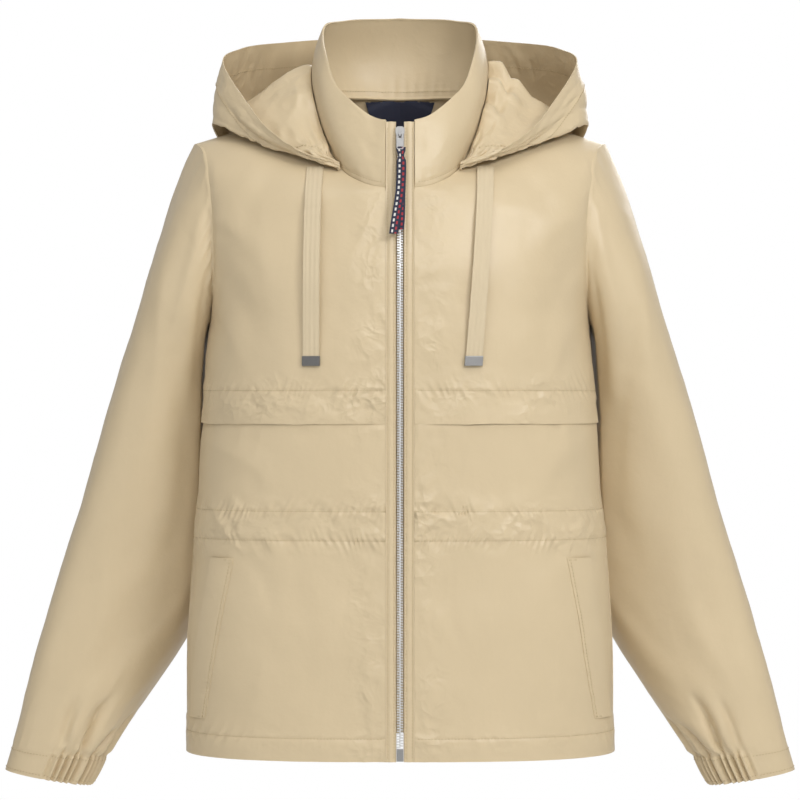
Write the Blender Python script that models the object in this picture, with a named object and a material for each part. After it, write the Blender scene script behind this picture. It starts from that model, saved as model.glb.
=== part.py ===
"""Hooded zip jacket in its worn, hollow form. Every cloth piece is a thin wall on a shared surface."""
import math

import bpy
import numpy as np
from mathutils import Vector
from mathutils.bvhtree import BVHTree

# Sizes in metres. X is the wearer's left, the front faces -Y, the origin is the middle of the neck opening.
CLOTH = 0.0014
DOUBLE_CLOTH = 0.0022
SEAM_GAP = 0.0003
HEM_Z = -0.6365
UNDERARM_Z = -0.214
FRONT_EDGE = 0.0135
FRONT_BEND = 2.5
BACK_BEND = 2.3
ROW_SAMPLES = 61

FLAP_EDGE_Z = -0.313
FLAP_STITCH_Z = -0.281
FLAP_LIFT = 0.0022
LOWER_FRONT_TOP_Z = -0.288
WAIST_TOP_Z = -0.397
WAIST_LOW_Z = -0.425
GATHER_HEIGHT = 0.0011
FRONT_GATHERS = 13
BACK_GATHERS = 16
FLAP_PUCKERS = 9

NECK_HALF_WIDTH = 0.080
NECK_FRONT = 0.120
NECK_BACK = 0.066
FRONT_NECK_SHARE = 0.45
BACK_NECK_SHARE = 0.75

ARMHOLE_Y = 0.004
ARMHOLE_Z = -0.124
ARMHOLE_HALF_HEIGHT = 0.090
ARMHOLE_HALF_DEPTH = 0.067

COLLAR_HALF_WIDTH = 0.078
COLLAR_FRONT = 0.104
COLLAR_BACK = 0.060
COLLAR_BULGE = 0.009

HOOD_CENTRE_Y = -0.010
HOOD_FRONT_ANGLE = 44.0
HOOD_CLEAR = 0.0022
HOOD_FOLD_SHARE = 0.6

SLEEVE_CLEAR = 0.0042
SEAM_STAND = 0.0006
CUFF_GATHERS = 20
CUFF_WAVE = 0.0017
CUFF_PINCH = 0.035

ZIP_HALF_CHAIN = 0.0031
ZIP_WELT_INNER = 0.0042
ZIP_TAPE_OUTER = 0.0128
ZIP_TOP_Z = -0.030
SLIDER_Z = -0.033

TAPE_WIDTH = 0.016
TAPE_THICK = 0.0012
LABEL_TOP_HALF = 0.037
LABEL_LOW_HALF = 0.026
LABEL_HEIGHT = 0.034


def table(names, *rows):
    """Named columns of a short table; the first column is the key."""
    columns = names.split()
    return {name: np.array([row[i] for row in rows], float) for i, name in enumerate(columns)}


BODY = table(
    "z half_width side_y",
    (-0.637, 0.2120, -0.014),
    (-0.530, 0.2115, -0.014),
    (-0.460, 0.2075, -0.014),
    (-0.425, 0.2045, -0.013),
    (-0.397, 0.2012, -0.012),
    (-0.313, 0.1962, -0.008),
    (-0.214, 0.1900, 0.004),
)
PROFILE = table(
    "z front_y back_y",
    (-0.637, -0.131, 0.122),
    (-0.520, -0.132, 0.117),
    (-0.411, -0.131, 0.107),
    (-0.313, -0.134, 0.105),
    (-0.214, -0.136, 0.110),
    (-0.150, -0.1335, 0.110),
    (-0.086, -0.119, 0.101),
    (-0.030, -0.106, 0.085),
    (0.018, -0.100, 0.066),
)
UPPER = table(
    "rise front_turn back_turn",
    (0.00, 90, 90),
    (0.20, 78, 78),
    (0.50, 64, 66),
    (0.75, 50, 54),
    (1.00, 30, 30),
)
NECK = table(
    "angle z",
    (0, -0.088),
    (25, -0.081),
    (44, -0.067),
    (68, -0.030),
    (90, 0.003),
    (115, 0.015),
    (145, 0.018),
    (180, 0.018),
)
ARMHOLE = table(
    "angle front_x back_x",
    (-90, 0.190, 0.190),
    (-45, 0.185, 0.184),
    (0, 0.185, 0.182),
    (35, 0.190, 0.187),
    (62, 0.195, 0.195),
    (90, 0.206, 0.206),
)
COLLAR_TOP = table(
    "angle z",
    (0, -0.022),
    (19, -0.016),
    (39, 0.003),
    (54, 0.020),
    (70, 0.050),
    (90, 0.077),
    (135, 0.095),
    (180, 0.0995),
)
SLEEVE = table(
    "along outer_x outer_y outer_z inner_x inner_y inner_z depth",
    (0.00, 0.206, 0.004, -0.034, 0.190, 0.004, -0.214, 0.067),
    (0.08, 0.221, 0.006, -0.068, 0.192, 0.008, -0.226, 0.069),
    (0.20, 0.242, 0.010, -0.130, 0.193, 0.018, -0.246, 0.070),
    (0.35, 0.266, 0.016, -0.212, 0.190, 0.038, -0.282, 0.068),
    (0.50, 0.293, 0.023, -0.300, 0.184, 0.058, -0.345, 0.064),
    (0.65, 0.322, 0.029, -0.400, 0.183, 0.068, -0.432, 0.057),
    (0.80, 0.3515, 0.033, -0.493, 0.210, 0.068, -0.518, 0.049),
    (0.92, 0.375, 0.031, -0.574, 0.262, 0.057, -0.598, 0.042),
    (1.00, 0.391, 0.028, -0.638, 0.300, 0.046, -0.651, 0.034),
)
CUFF_END = table(
    "along outer_x outer_y outer_z inner_x inner_y inner_z depth",
    (0.0, 0.391, 0.028, -0.638, 0.300, 0.046, -0.651, 0.034),
    (1.0, 0.398, 0.027, -0.662, 0.3145, 0.043, -0.679, 0.029),
)
CUFF_FOLDS = table(
    "around reach half_width height",
    (0.060, 0.060, 0.030, 0.0035),
    (0.135, 0.085, 0.032, 0.0045),
    (0.215, 0.100, 0.036, 0.0050),
    (0.800, 0.080, 0.036, 0.0045),
    (0.900, 0.070, 0.034, 0.0040),
)
HOOD = table(
    "fan fold_r fold_z rim_r rim_z rise bulge",
    (36, 0.0985, -0.066, 0.1000, -0.062, 0.000, 0.000),
    (50, 0.1180, -0.056, 0.1260, -0.048, 0.006, 0.001),
    (63, 0.1320, -0.047, 0.1410, -0.028, 0.013, 0.002),
    (78, 0.1580, -0.031, 0.1540, 0.003, 0.022, 0.002),
    (93, 0.1880, -0.014, 0.1770, 0.047, 0.031, 0.002),
    (110, 0.1860, -0.045, 0.1720, 0.067, 0.028, 0.010),
    (132, 0.1800, -0.090, 0.1600, 0.079, 0.016, 0.016),
    (156, 0.1680, -0.125, 0.1420, 0.086, 0.010, 0.022),
    (180, 0.1600, -0.140, 0.1320, 0.088, 0.008, 0.024),
)
DRAWSTRING = table(
    "side top_x top_z low_x low_z",
    (1, 0.0830, -0.0655, 0.0705, -0.250),
    (-1, -0.0825, -0.0655, -0.0845, -0.250),
)
POCKET = table(
    "z inner_x",
    (-0.600, 0.1900),
    (-0.443, 0.1620),
)
POCKET_WIDTH = 0.030


def through(keys, values, at):
    """Smooth curve through key and value pairs."""
    slopes = np.gradient(values, keys)
    i = np.clip(np.searchsorted(keys, at) - 1, 0, len(keys) - 2)
    span = keys[i + 1] - keys[i]
    t = (at - keys[i]) / span
    first = (2 * t**3 - 3 * t**2 + 1) * values[i] + (t**3 - 2 * t**2 + t) * span * slopes[i]
    second = (3 * t**2 - 2 * t**3) * values[i + 1] + (t**3 - t**2) * span * slopes[i + 1]
    return first + second


def read(sizes, name, key):
    """One column of a table at a key between its rows."""
    return through(next(iter(sizes.values())), sizes[name], key)


def ease(t):
    """Step from 0 to 1 with level ends."""
    t = np.clip(t, 0.0, 1.0)
    return t * t * (3 - 2 * t)


def unit(vectors):
    """Vectors of length one."""
    return vectors / np.maximum(np.linalg.norm(vectors, axis=-1, keepdims=True), 1e-12)


def neck(degrees):
    """Neck seam on the wearer's left, 0 at the front and 180 at the back."""
    a = math.radians(degrees)
    depth = NECK_FRONT if degrees < 90 else NECK_BACK
    return np.array([NECK_HALF_WIDTH * math.sin(a), -depth * math.cos(a), read(NECK, "z", degrees)])


def armhole(panel, rise):
    """Armhole seam of the left side, 0 at the underarm and 1 at the shoulder."""
    degrees = -90 + 180 * rise
    a = math.radians(degrees)
    way = -1 if panel == "front" else 1
    y = ARMHOLE_Y + way * ARMHOLE_HALF_DEPTH * math.cos(a)
    z = ARMHOLE_Z + ARMHOLE_HALF_HEIGHT * math.sin(a)
    return np.array([read(ARMHOLE, panel + "_x", degrees), y, z])


NECK_START = math.degrees(math.asin(FRONT_EDGE / NECK_HALF_WIDTH))


def middle_edge(panel, rise):
    """Centre edge of a panel from the underarm level up, and on along the neck to the shoulder."""
    if panel == "front":
        top = neck(NECK_START)
        if rise < FRONT_NECK_SHARE:
            z = UNDERARM_Z + (top[2] - UNDERARM_Z) * rise / FRONT_NECK_SHARE
            return np.array([FRONT_EDGE, read(PROFILE, "front_y", z), z])
        share = (rise - FRONT_NECK_SHARE) / (1 - FRONT_NECK_SHARE)
        return neck(NECK_START + (90 - NECK_START) * share)
    top = neck(180)
    if rise < BACK_NECK_SHARE:
        z = UNDERARM_Z + (top[2] - UNDERARM_Z) * rise / BACK_NECK_SHARE
        return np.array([0.0, read(PROFILE, "back_y", z), z])
    share = (rise - BACK_NECK_SHARE) / (1 - BACK_NECK_SHARE)
    return neck(180 - 90 * share)


def torso_curve(panel, level):
    """One row of a left panel: level 0 is the hem, 1 the underarm and 2 the shoulder seam."""
    bend = FRONT_BEND if panel == "front" else BACK_BEND
    if level <= 1:
        z = HEM_Z + (UNDERARM_Z - HEM_Z) * level
        start = np.array([FRONT_EDGE if panel == "front" else 0.0, read(PROFILE, panel + "_y", z), z])
        end = np.array([read(BODY, "half_width", z), read(BODY, "side_y", z), z])
        turn = 90.0
    else:
        start = middle_edge(panel, level - 1)
        end = armhole(panel, level - 1)
        turn = read(UPPER, panel + "_turn", level - 1)
    phi = np.radians(np.linspace(0, turn, ROW_SAMPLES))
    across = np.sin(phi) ** (2 / bend)
    away = 1 - np.maximum(np.cos(phi), 0) ** (2 / bend)
    across = across / across[-1]
    away = away / away[-1]
    return start + (end - start) * np.stack([across, away, across], axis=1)


def along_curve(curve, shares):
    """Points of a curve at shares of its length."""
    steps = np.linalg.norm(np.diff(curve, axis=0), axis=1)
    run = np.concatenate([[0], np.cumsum(steps)])
    return np.stack([np.interp(np.clip(shares, 0, 1) * run[-1], run, curve[:, i]) for i in range(3)], axis=1)


def curve_length(curve):
    """Length of a curve."""
    return float(np.linalg.norm(np.diff(curve, axis=0), axis=1).sum())


def torso_row(panel, level, shares):
    """Points and outward normals of one torso row on the wearer's left."""
    step = 0.004
    low = max(level - step, 0.0)
    high = min(level + step, 2.0)
    curve = torso_curve(panel, level)
    points = along_curve(curve, shares)
    across = along_curve(curve, shares + step) - along_curve(curve, shares - step)
    up = along_curve(torso_curve(panel, high), shares) - along_curve(torso_curve(panel, low), shares)
    normals = unit(np.cross(across, up))
    return points, normals if panel == "front" else -normals


def level_of(z):
    """Torso level of a height under the arms."""
    return (z - HEM_Z) / (UNDERARM_Z - HEM_Z)


def share_of(panel, z, x):
    """Share along a level row where it reaches a width."""
    curve = torso_curve(panel, level_of(z))
    steps = np.linalg.norm(np.diff(curve, axis=0), axis=1)
    run = np.concatenate([[0], np.cumsum(steps)])
    return float(np.interp(x, curve[:, 0], run) / run[-1])


def mirrored(points, side):
    """Points of the left side moved to either side, columns still running the same way round."""
    if side > 0:
        return points
    return (points * np.array([-1, 1, 1]))[::-1]


def bridge(first_a, count_a, first_b, count_b, closed):
    """Faces between two rows of points, which may have unlike counts."""
    if closed:
        turn_a = [first_a + k % count_a for k in range(count_a + 1)]
        turn_b = [first_b + k % count_b for k in range(count_b + 1)]
    else:
        turn_a = list(range(first_a, first_a + count_a))
        turn_b = list(range(first_b, first_b + count_b))
    faces = []
    i = 0
    j = 0
    while i < len(turn_a) - 1 or j < len(turn_b) - 1:
        next_a = (i + 1) / (len(turn_a) - 1)
        next_b = (j + 1) / (len(turn_b) - 1)
        if j == len(turn_b) - 1 or (i < len(turn_a) - 1 and next_a <= next_b):
            faces.append((turn_a[i], turn_a[i + 1], turn_b[j]))
            i += 1
        else:
            faces.append((turn_a[i], turn_b[j + 1], turn_b[j]))
            j += 1
    return faces


def skin(rows, start, closed):
    """Points and faces of one face of a wall, and the first index of each row."""
    firsts = []
    index = start
    for row in rows:
        firsts.append(index)
        index += len(row)
    faces = []
    for k in range(len(rows) - 1):
        faces += bridge(firsts[k], len(rows[k]), firsts[k + 1], len(rows[k + 1]), closed)
    return faces, firsts


def material(name, colour, roughness, metallic=0.0):
    """A plain named material."""
    made = bpy.data.materials.get(name)
    if made:
        return made
    made = bpy.data.materials.new(name)
    made.use_nodes = True
    shader = made.node_tree.nodes["Principled BSDF"]
    shader.inputs["Base Color"].default_value = (*colour, 1)
    shader.inputs["Roughness"].default_value = roughness
    shader.inputs["Metallic"].default_value = metallic
    return made


def solid(name, points, faces, made, origin=(0, 0, 0), smooth=True):
    """A named object from points and faces, faces turned outward."""
    points = np.asarray(points, float)
    volume = 0.0
    for face in faces:
        for k in range(1, len(face) - 1):
            volume += np.dot(points[face[0]], np.cross(points[face[k]], points[face[k + 1]]))
    if volume < 0:
        faces = [tuple(reversed(face)) for face in faces]
    mesh = bpy.data.meshes.new(name)
    mesh.from_pydata([tuple(p) for p in points - np.array(origin)], [], faces)
    mesh.polygons.foreach_set("use_smooth", [smooth] * len(mesh.polygons))
    mesh.materials.append(made)
    mesh.update()
    placed = bpy.data.objects.new(name, mesh)
    placed.location = origin
    bpy.context.collection.objects.link(placed)
    return placed


def wall(name, outer, inner, made, closed=False, origin=(0, 0, 0)):
    """A closed wall between an outer and an inner set of rows."""
    points = np.concatenate(list(outer) + list(inner))
    total = sum(len(row) for row in outer)
    out_faces, out_first = skin(outer, 0, closed)
    in_faces, in_first = skin(inner, total, closed)
    faces = out_faces + [tuple(reversed(face)) for face in in_faces]
    count = len(outer[0])
    faces += [tuple(reversed(f)) for f in bridge(out_first[0], count, in_first[0], count, closed)]
    count = len(outer[-1])
    faces += bridge(out_first[-1], count, in_first[-1], count, closed)
    if not closed:
        for k in range(len(outer) - 1):
            a = out_first[k]
            b = out_first[k + 1]
            faces.append((a, b, in_first[k + 1], in_first[k]))
            a += len(outer[k]) - 1
            b += len(outer[k + 1]) - 1
            c = in_first[k + 1] + len(inner[k + 1]) - 1
            d = in_first[k] + len(inner[k]) - 1
            faces.append((b, a, d, c))
    return solid(name, points, faces, made, origin)


def grid_normals(grid, closed):
    """Normals of a grid of rows, columns running round when closed."""
    if closed:
        across = np.roll(grid, -1, axis=1) - np.roll(grid, 1, axis=1)
    else:
        across = np.gradient(grid, axis=1)
    return unit(np.cross(across, np.gradient(grid, axis=0)))


def tree_of(grids, closed=False):
    """Surface for clearances, from grids of points."""
    points = []
    faces = []
    for grid in grids:
        made, _ = skin(list(grid), len(points), closed)
        points += [Vector(p) for row in grid for p in row]
        faces += made
    return BVHTree.FromPolygons(points, faces)


def keep_clear(point, tree, gap, outward):
    """A point moved out of a surface until it clears it."""
    near, _, _, _ = tree.find_nearest(Vector(point))
    away = point - np.array(near)
    facing = outward(np.array(near))
    depth = float(np.dot(away, facing))
    if depth >= gap:
        return point
    return point + facing * (gap - depth)


def uneven(shares, count, phase):
    """Wave of about one, with gathers of unlike spacing and height."""
    warp = shares + 0.35 / count * np.sin(2 * math.pi * (count * 0.31 * shares + phase))
    return np.cos(2 * math.pi * count * warp) * (0.8 + 0.2 * np.sin(11 * shares + 5 * phase))


CLOTH_MADE = material("sand taffeta", (0.62, 0.51, 0.34), 0.45)
METAL_MADE = material("bright metal", (0.72, 0.71, 0.69), 0.25, 1.0)
DARK_METAL_MADE = material("grey metal", (0.36, 0.35, 0.34), 0.3, 1.0)
ZIP_CLOTH_MADE = material("zip tape cloth", (0.55, 0.45, 0.30), 0.7)
RIBBON_MADE = material("navy ribbon", (0.02, 0.03, 0.09), 0.7)
LABEL_MADE = material("label cloth", (0.60, 0.57, 0.52), 0.7)
CORD_MADE = material("woven tape", (0.66, 0.55, 0.40), 0.75)

for leftover in list(bpy.data.objects):
    bpy.data.objects.remove(leftover)


def panel_rows(panel, levels, lift, coarse, fine, waves, thickness):
    """Outer and inner rows of a left panel; rows with waves have more columns outside."""
    outer = []
    inner = []
    for level in levels:
        z = HEM_Z + (UNDERARM_Z - HEM_Z) * level if level <= 1 else 0.0
        height = waves(z) if level <= 1 else 0.0
        trim = SEAM_GAP / 2 / curve_length(torso_curve(panel, level))
        ends = (0.0 if panel == "back" else trim, 1 - trim)
        for rows, count, base in ((outer, fine if height else coarse, lift(z, level)),
                                  (inner, coarse, lift(z, level) - thickness)):
            shares = np.linspace(*ends, count)
            points, normals = torso_row(panel, level, shares)
            raised = base + np.zeros(count)
            if rows is outer and height:
                fade = np.sin(math.pi * np.clip(np.linspace(0, 1, count), 0, 1)) ** 0.25
                raised = raised + height * fade * (0.5 + 0.5 * uneven(shares, height_count(panel, z), 0.2))
            rows.append(points + normals * raised[:, None])
    return outer, inner


def height_count(panel, z):
    """Number of gathers along a row."""
    if z > FLAP_EDGE_Z - 0.01:
        return FLAP_PUCKERS
    return FRONT_GATHERS if panel == "front" else BACK_GATHERS / 2


def waist_waves(z):
    """Height of the gathers near the two casing seams."""
    near = min(abs(z - WAIST_TOP_Z), abs(z - WAIST_LOW_Z))
    return GATHER_HEIGHT if near < 0.004 else (0.5 * GATHER_HEIGHT if near < 0.016 else 0.0)


def flap_waves(z):
    """Height of the puckers near the flap's seam."""
    return 0.0007 if abs(z - FLAP_STITCH_Z) < 0.012 else 0.0


def flat(z, level):
    """No lift."""
    return 0.0


def flap_lift(z, level):
    """The loose flap stands off the lower front under it."""
    if level > 1:
        return 0.0
    return FLAP_LIFT * float(ease((FLAP_STITCH_Z - z) / 0.0045))


LOWER_HEIGHTS = (HEM_Z, -0.612, -0.570, -0.525, -0.480, -0.445, WAIST_LOW_Z - 0.010, WAIST_LOW_Z,
                 -0.411, WAIST_TOP_Z, WAIST_TOP_Z + 0.010, -0.365, -0.325, LOWER_FRONT_TOP_Z)
YOKE_HEIGHTS = (FLAP_EDGE_Z, -0.300, -0.2862, FLAP_STITCH_Z, -0.272, -0.245, -0.222)
BACK_HEIGHTS = LOWER_HEIGHTS[:-1] + (-0.290, -0.250, -0.222)
UPPER_LEVELS = tuple(1 + k / 12 for k in range(12)) + (1.9992,)

lower_levels = [level_of(z) for z in LOWER_HEIGHTS]
yoke_levels = [level_of(z) for z in YOKE_HEIGHTS] + list(UPPER_LEVELS)
back_levels = [level_of(z) for z in BACK_HEIGHTS] + list(UPPER_LEVELS)

for side, label in ((1, "left"), (-1, "right")):
    outer, inner = panel_rows("front", lower_levels, flat, 10, 40, waist_waves, CLOTH)
    outer = [mirrored(row, side) for row in outer]
    wall("front_lower_" + label, outer, [mirrored(row, side) for row in inner], CLOTH_MADE)
    outer, inner = panel_rows("front", yoke_levels, flap_lift, 10, 28, flap_waves, CLOTH)
    outer = [mirrored(row, side) for row in outer]
    wall("front_yoke_" + label, outer, [mirrored(row, side) for row in inner], CLOTH_MADE)


def two_sided(name, outer, inner, made, parted):
    """A closed wall whose left rows are joined to their mirror image, and part at the neck from one row up."""
    left = np.concatenate(list(outer) + list(inner))
    total = sum(len(row) for row in outer)
    out_faces, out_first = skin(outer, 0, False)
    in_faces, in_first = skin(inner, total, False)
    faces = out_faces + [tuple(reversed(face)) for face in in_faces]
    for k, turned in ((0, True), (-1, False)):
        rim = bridge(out_first[k], len(outer[k]), in_first[k], len(inner[k]), False)
        faces += [tuple(reversed(face)) for face in rim] if turned else rim
    for k in range(len(outer) - 1):
        a = out_first[k] + len(outer[k]) - 1
        b = out_first[k + 1] + len(outer[k + 1]) - 1
        c = in_first[k + 1] + len(inner[k + 1]) - 1
        d = in_first[k] + len(inner[k]) - 1
        faces.append((b, a, d, c))
        if k >= parted:
            faces.append((out_first[k], out_first[k + 1], in_first[k + 1], in_first[k]))
    joined = {first for firsts in (out_first, in_first) for first in firsts[:parted + 1]}
    twin = {}
    points = list(left)
    for index, point in enumerate(left):
        twin[index] = index if index in joined else len(points)
        if index not in joined:
            points.append(point * np.array([-1, 1, 1]))
    faces += [tuple(twin[index] for index in reversed(face)) for face in faces]
    return solid(name, points, faces, made)


outer, inner = panel_rows("back", back_levels, flat, 10, 25, waist_waves, CLOTH)
for rows in (outer, inner):
    for row in rows[:back_levels.index(1 + BACK_NECK_SHARE) + 1]:
        row[0][0] = 0.0
two_sided("back", outer, inner, CLOTH_MADE, back_levels.index(1 + BACK_NECK_SHARE))


def torso_grids(side):
    """Plain torso surface of one side, for clearances."""
    shares = np.linspace(0, 1, 21)
    levels = np.linspace(0, 2, 81)
    made = []
    for panel in ("front", "back"):
        made.append(np.array([torso_row(panel, v, shares)[0] * np.array([side, 1, 1]) for v in levels]))
    return made


def torso_outward(point):
    """Direction out of the body at a point of its surface."""
    return unit(point * np.array([1, 1, 0]))


def ring(sizes, along, around):
    """Points of one sleeve section: 0 at the inner line, then the front, the outer line and the back."""
    outer_line = np.array([read(sizes, "outer_" + c, along) for c in "xyz"])
    inner_line = np.array([read(sizes, "inner_" + c, along) for c in "xyz"])
    centre = (outer_line + inner_line) / 2
    reach = (outer_line - inner_line) / 2
    depth = np.array([0, -read(sizes, "depth", along), 0])
    a = 2 * math.pi * np.asarray(around)[:, None]
    return centre - reach * np.cos(a) + depth * np.sin(a)


def armhole_ring(around):
    """Armhole seam at shares round the sleeve."""
    return np.array([armhole("front", 2 * u) if u <= 0.5 else armhole("back", 2 - 2 * u) for u in around])


def sleeve_grid(alongs, around, tree):
    """Left sleeve surface, from the armhole to the cuff seam, clear of the body."""
    extra = armhole_ring(around) - ring(SLEEVE, 0.0, around)
    rows = []
    for along in alongs:
        row = ring(SLEEVE, along, around) + extra * (1 - ease(along / 0.3))
        gap = SEAM_STAND + SLEEVE_CLEAR * float(ease(along / 0.16))
        row = np.array([keep_clear(p, tree, gap, torso_outward) if p[2] < UNDERARM_Z else p for p in row])
        rows.append(row)
    return np.array(rows)


def cuff_folds(along, around):
    """Height of the folds that run up the sleeve from the gathered cuff."""
    raised = np.zeros(len(around))
    for k in range(len(CUFF_FOLDS["around"])):
        offset = (around - CUFF_FOLDS["around"][k] + 0.5) % 1.0 - 0.5
        shape = np.exp(-(offset / CUFF_FOLDS["half_width"][k]) ** 2)
        reach = ease(1 - (1 - along) / (CUFF_FOLDS["reach"][k] * 1.6))
        raised += CUFF_FOLDS["height"][k] * shape * reach
    return raised * ease((1 - along) / CUFF_PINCH)


SLEEVE_ALONG = (0.0009, 0.04, 0.09, 0.16, 0.24, 0.33, 0.43, 0.53, 0.63, 0.73, 0.82, 0.89, 0.94, 0.972, 0.9995)
SLEEVE_COLUMNS = 24
around = np.arange(SLEEVE_COLUMNS) / SLEEVE_COLUMNS
torso_tree = tree_of(torso_grids(1))
sleeve_skin = sleeve_grid(SLEEVE_ALONG, around, torso_tree)
sleeve_normals = grid_normals(sleeve_skin, True)
centres = sleeve_skin.mean(axis=1, keepdims=True)
if (sleeve_normals * (sleeve_skin - centres)).sum() < 0:
    sleeve_normals = -sleeve_normals
for k, u in enumerate(around):
    panel = "front" if u <= 0.5 else "back"
    rise = 2 * u if u <= 0.5 else 2 - 2 * u
    _, seam_normal = torso_row(panel, 1 + rise, np.array([1.0]))
    facing = float(np.dot(seam_normal[0], sleeve_normals[0][k]))
    sleeve_skin[0][k] += seam_normal[0] * SEAM_STAND * (1 - facing) / 2
    sleeve_normals[0][k] = unit(seam_normal[0] * (1 + facing) + sleeve_normals[0][k])
sleeve_lift = np.array([cuff_folds(v, around) for v in SLEEVE_ALONG])[:, :, None]

cuff_plain = np.linspace(0.27, 0.73, 9)[:-1]
cuff_elastic = np.linspace(0.73, 1.27, 3 * CUFF_GATHERS + 1)[:-1]
cuff_around = np.concatenate([cuff_plain, cuff_elastic]) % 1.0
CUFF_ALONG = (0.015, 0.5, 1.0)


def cuff_wave(turns):
    """Gathers of the elastic half, none on the plain half."""
    inside = (turns - 0.73) % 1.0 / 0.54
    held = np.where(inside < 1, np.sin(math.pi * np.clip(inside, 0, 1)) ** 0.3, 0)
    return held * CUFF_WAVE * np.cos(2 * math.pi * CUFF_GATHERS * inside)


cuff_skin = np.array([ring(CUFF_END, v, cuff_around) for v in CUFF_ALONG])
cuff_normals = grid_normals(cuff_skin, True)
if (cuff_normals * (cuff_skin - cuff_skin.mean(axis=1, keepdims=True))).sum() < 0:
    cuff_normals = -cuff_normals
cuff_lift = np.array([cuff_wave(cuff_around) * s for s in (0.7, 1.0, 0.85)])[:, :, None]

for side, label in ((1, "left"), (-1, "right")):
    flip = np.array([side, 1, 1])
    outer = (sleeve_skin + sleeve_normals * sleeve_lift) * flip
    inner = (sleeve_skin + sleeve_normals * (sleeve_lift - CLOTH)) * flip
    wall("sleeve_" + label, list(outer), list(inner), CLOTH_MADE, closed=True)
    outer = (cuff_skin + cuff_normals * cuff_lift) * flip
    inner = (cuff_skin + cuff_normals * (cuff_lift - CLOTH)) * flip
    wall("cuff_" + label, list(outer), list(inner), CLOTH_MADE, closed=True)


def collar_point(degrees, rise):
    """Collar surface, 0 degrees at the front, rise 0 at the neck seam and 1 at the top."""
    side = 1 if degrees <= 180 else -1
    d = degrees if degrees <= 180 else 360 - degrees
    a = math.radians(d)
    base = neck(d)
    depth = COLLAR_FRONT if d < 90 else COLLAR_BACK
    top = np.array([COLLAR_HALF_WIDTH * math.sin(a), -depth * math.cos(a), read(COLLAR_TOP, "z", d)])
    point = base + (top - base) * rise
    out = unit(np.array([math.sin(a), -math.cos(a), 0.0]))
    swell = COLLAR_BULGE * math.sin(math.pi * rise) * float(ease((d - 8) / 50))
    point = point + out * swell
    return point * np.array([side, 1, 1])


COLLAR_RISES = (0.02, 0.25, 0.5, 0.75, 1.0)
collar_start = math.degrees(math.asin((FRONT_EDGE + 0.0006) / COLLAR_HALF_WIDTH))
collar_skin = np.array([[collar_point(d, r) for d in np.linspace(collar_start, 360 - collar_start, 37)]
                        for r in COLLAR_RISES])
collar_normals = grid_normals(collar_skin, False)
if (collar_normals * (collar_skin - np.array([0, -0.02, 0.0]))).sum() < 0:
    collar_normals = -collar_normals
wall("collar", list(collar_skin), list(collar_skin - collar_normals * DOUBLE_CLOTH), CLOTH_MADE)

collar_tree = tree_of([collar_skin])
sleeve_tree = tree_of([sleeve_skin], closed=True)


def collar_outward(point):
    """Direction out of the collar."""
    return unit(point - np.array([0, -0.02, point[2]]))


def shoulder_outward(point):
    """Direction up and out of the shoulders and back."""
    if point[1] > 0.05:
        return unit(np.array([point[0] * 0.5, point[1], max(point[2] + 0.06, 0) * 1.5]))
    return unit(np.array([point[0] * 0.6, point[1] * 0.9, 0.16 + point[2]]))


def smooth_run(stops, shares):
    """Smooth curve through points, at shares of its length."""
    run = np.concatenate([[0], np.cumsum(np.linalg.norm(np.diff(stops, axis=0), axis=1))])
    return np.stack([through(run / run[-1], stops[:, i], shares) for i in range(3)], axis=1)


def hood_section(fan, shares):
    """One section of the left hood half: up the collar, down to the lower fold, and on to the rim."""
    turn = (fan - HOOD["fan"][0]) / (HOOD["fan"][-1] - HOOD["fan"][0])
    start = neck(HOOD_FRONT_ANGLE + (180 - HOOD_FRONT_ANGLE) * turn)
    a = math.radians(fan)
    out = np.array([math.sin(a), -math.cos(a), 0.0])
    centre = np.array([0, HOOD_CENTRE_Y, 0])
    up = np.array([0, 0, 1.0])
    start = start + out * 0.004 + up * 0.003
    fold = centre + out * read(HOOD, "fold_r", fan) + up * read(HOOD, "fold_z", fan)
    rim = centre + out * read(HOOD, "rim_r", fan) + up * read(HOOD, "rim_z", fan)
    hump = start * 0.95 + fold * 0.05 + up * read(HOOD, "rise", fan)
    valley = start * 0.18 + fold * 0.82 + up * 0.006
    belly = (fold + rim) / 2 + out * read(HOOD, "bulge", fan)
    inside_shares = np.minimum(shares / HOOD_FOLD_SHARE, 1)
    outside_shares = np.maximum((shares - HOOD_FOLD_SHARE) / (1 - HOOD_FOLD_SHARE), 0)
    inside = smooth_run(np.array([start, hump, valley, fold]), inside_shares)
    outside = smooth_run(np.array([fold, belly, rim]), outside_shares)
    return np.where((shares < HOOD_FOLD_SHARE)[:, None], inside, outside)


HOOD_FANS = (36.4, 44, 52, 61, 70, 79, 87, 95, 105, 118, 133, 149, 165, 179.93)
HOOD_SHARES = np.linspace(0, 1, 16)
hood_skin = np.array([hood_section(fan, HOOD_SHARES) for fan in HOOD_FANS])
for row in hood_skin:
    for k, point in enumerate(row):
        gap = HOOD_CLEAR + 0.0006
        point = keep_clear(point, torso_tree, gap, shoulder_outward)
        point = keep_clear(point, sleeve_tree, gap, shoulder_outward) if point[0] > 0.17 else point
        row[k] = keep_clear(point, collar_tree, gap, collar_outward) if k < 9 else point
hood_normals = grid_normals(hood_skin, False)
for side, label in ((1, "left"), (-1, "right")):
    flip = np.array([side, 1, 1])
    near = (hood_skin + hood_normals * CLOTH / 2) * flip
    far = (hood_skin - hood_normals * CLOTH / 2) * flip
    wall("hood_" + label, list(near), list(far), CLOTH_MADE)


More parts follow.
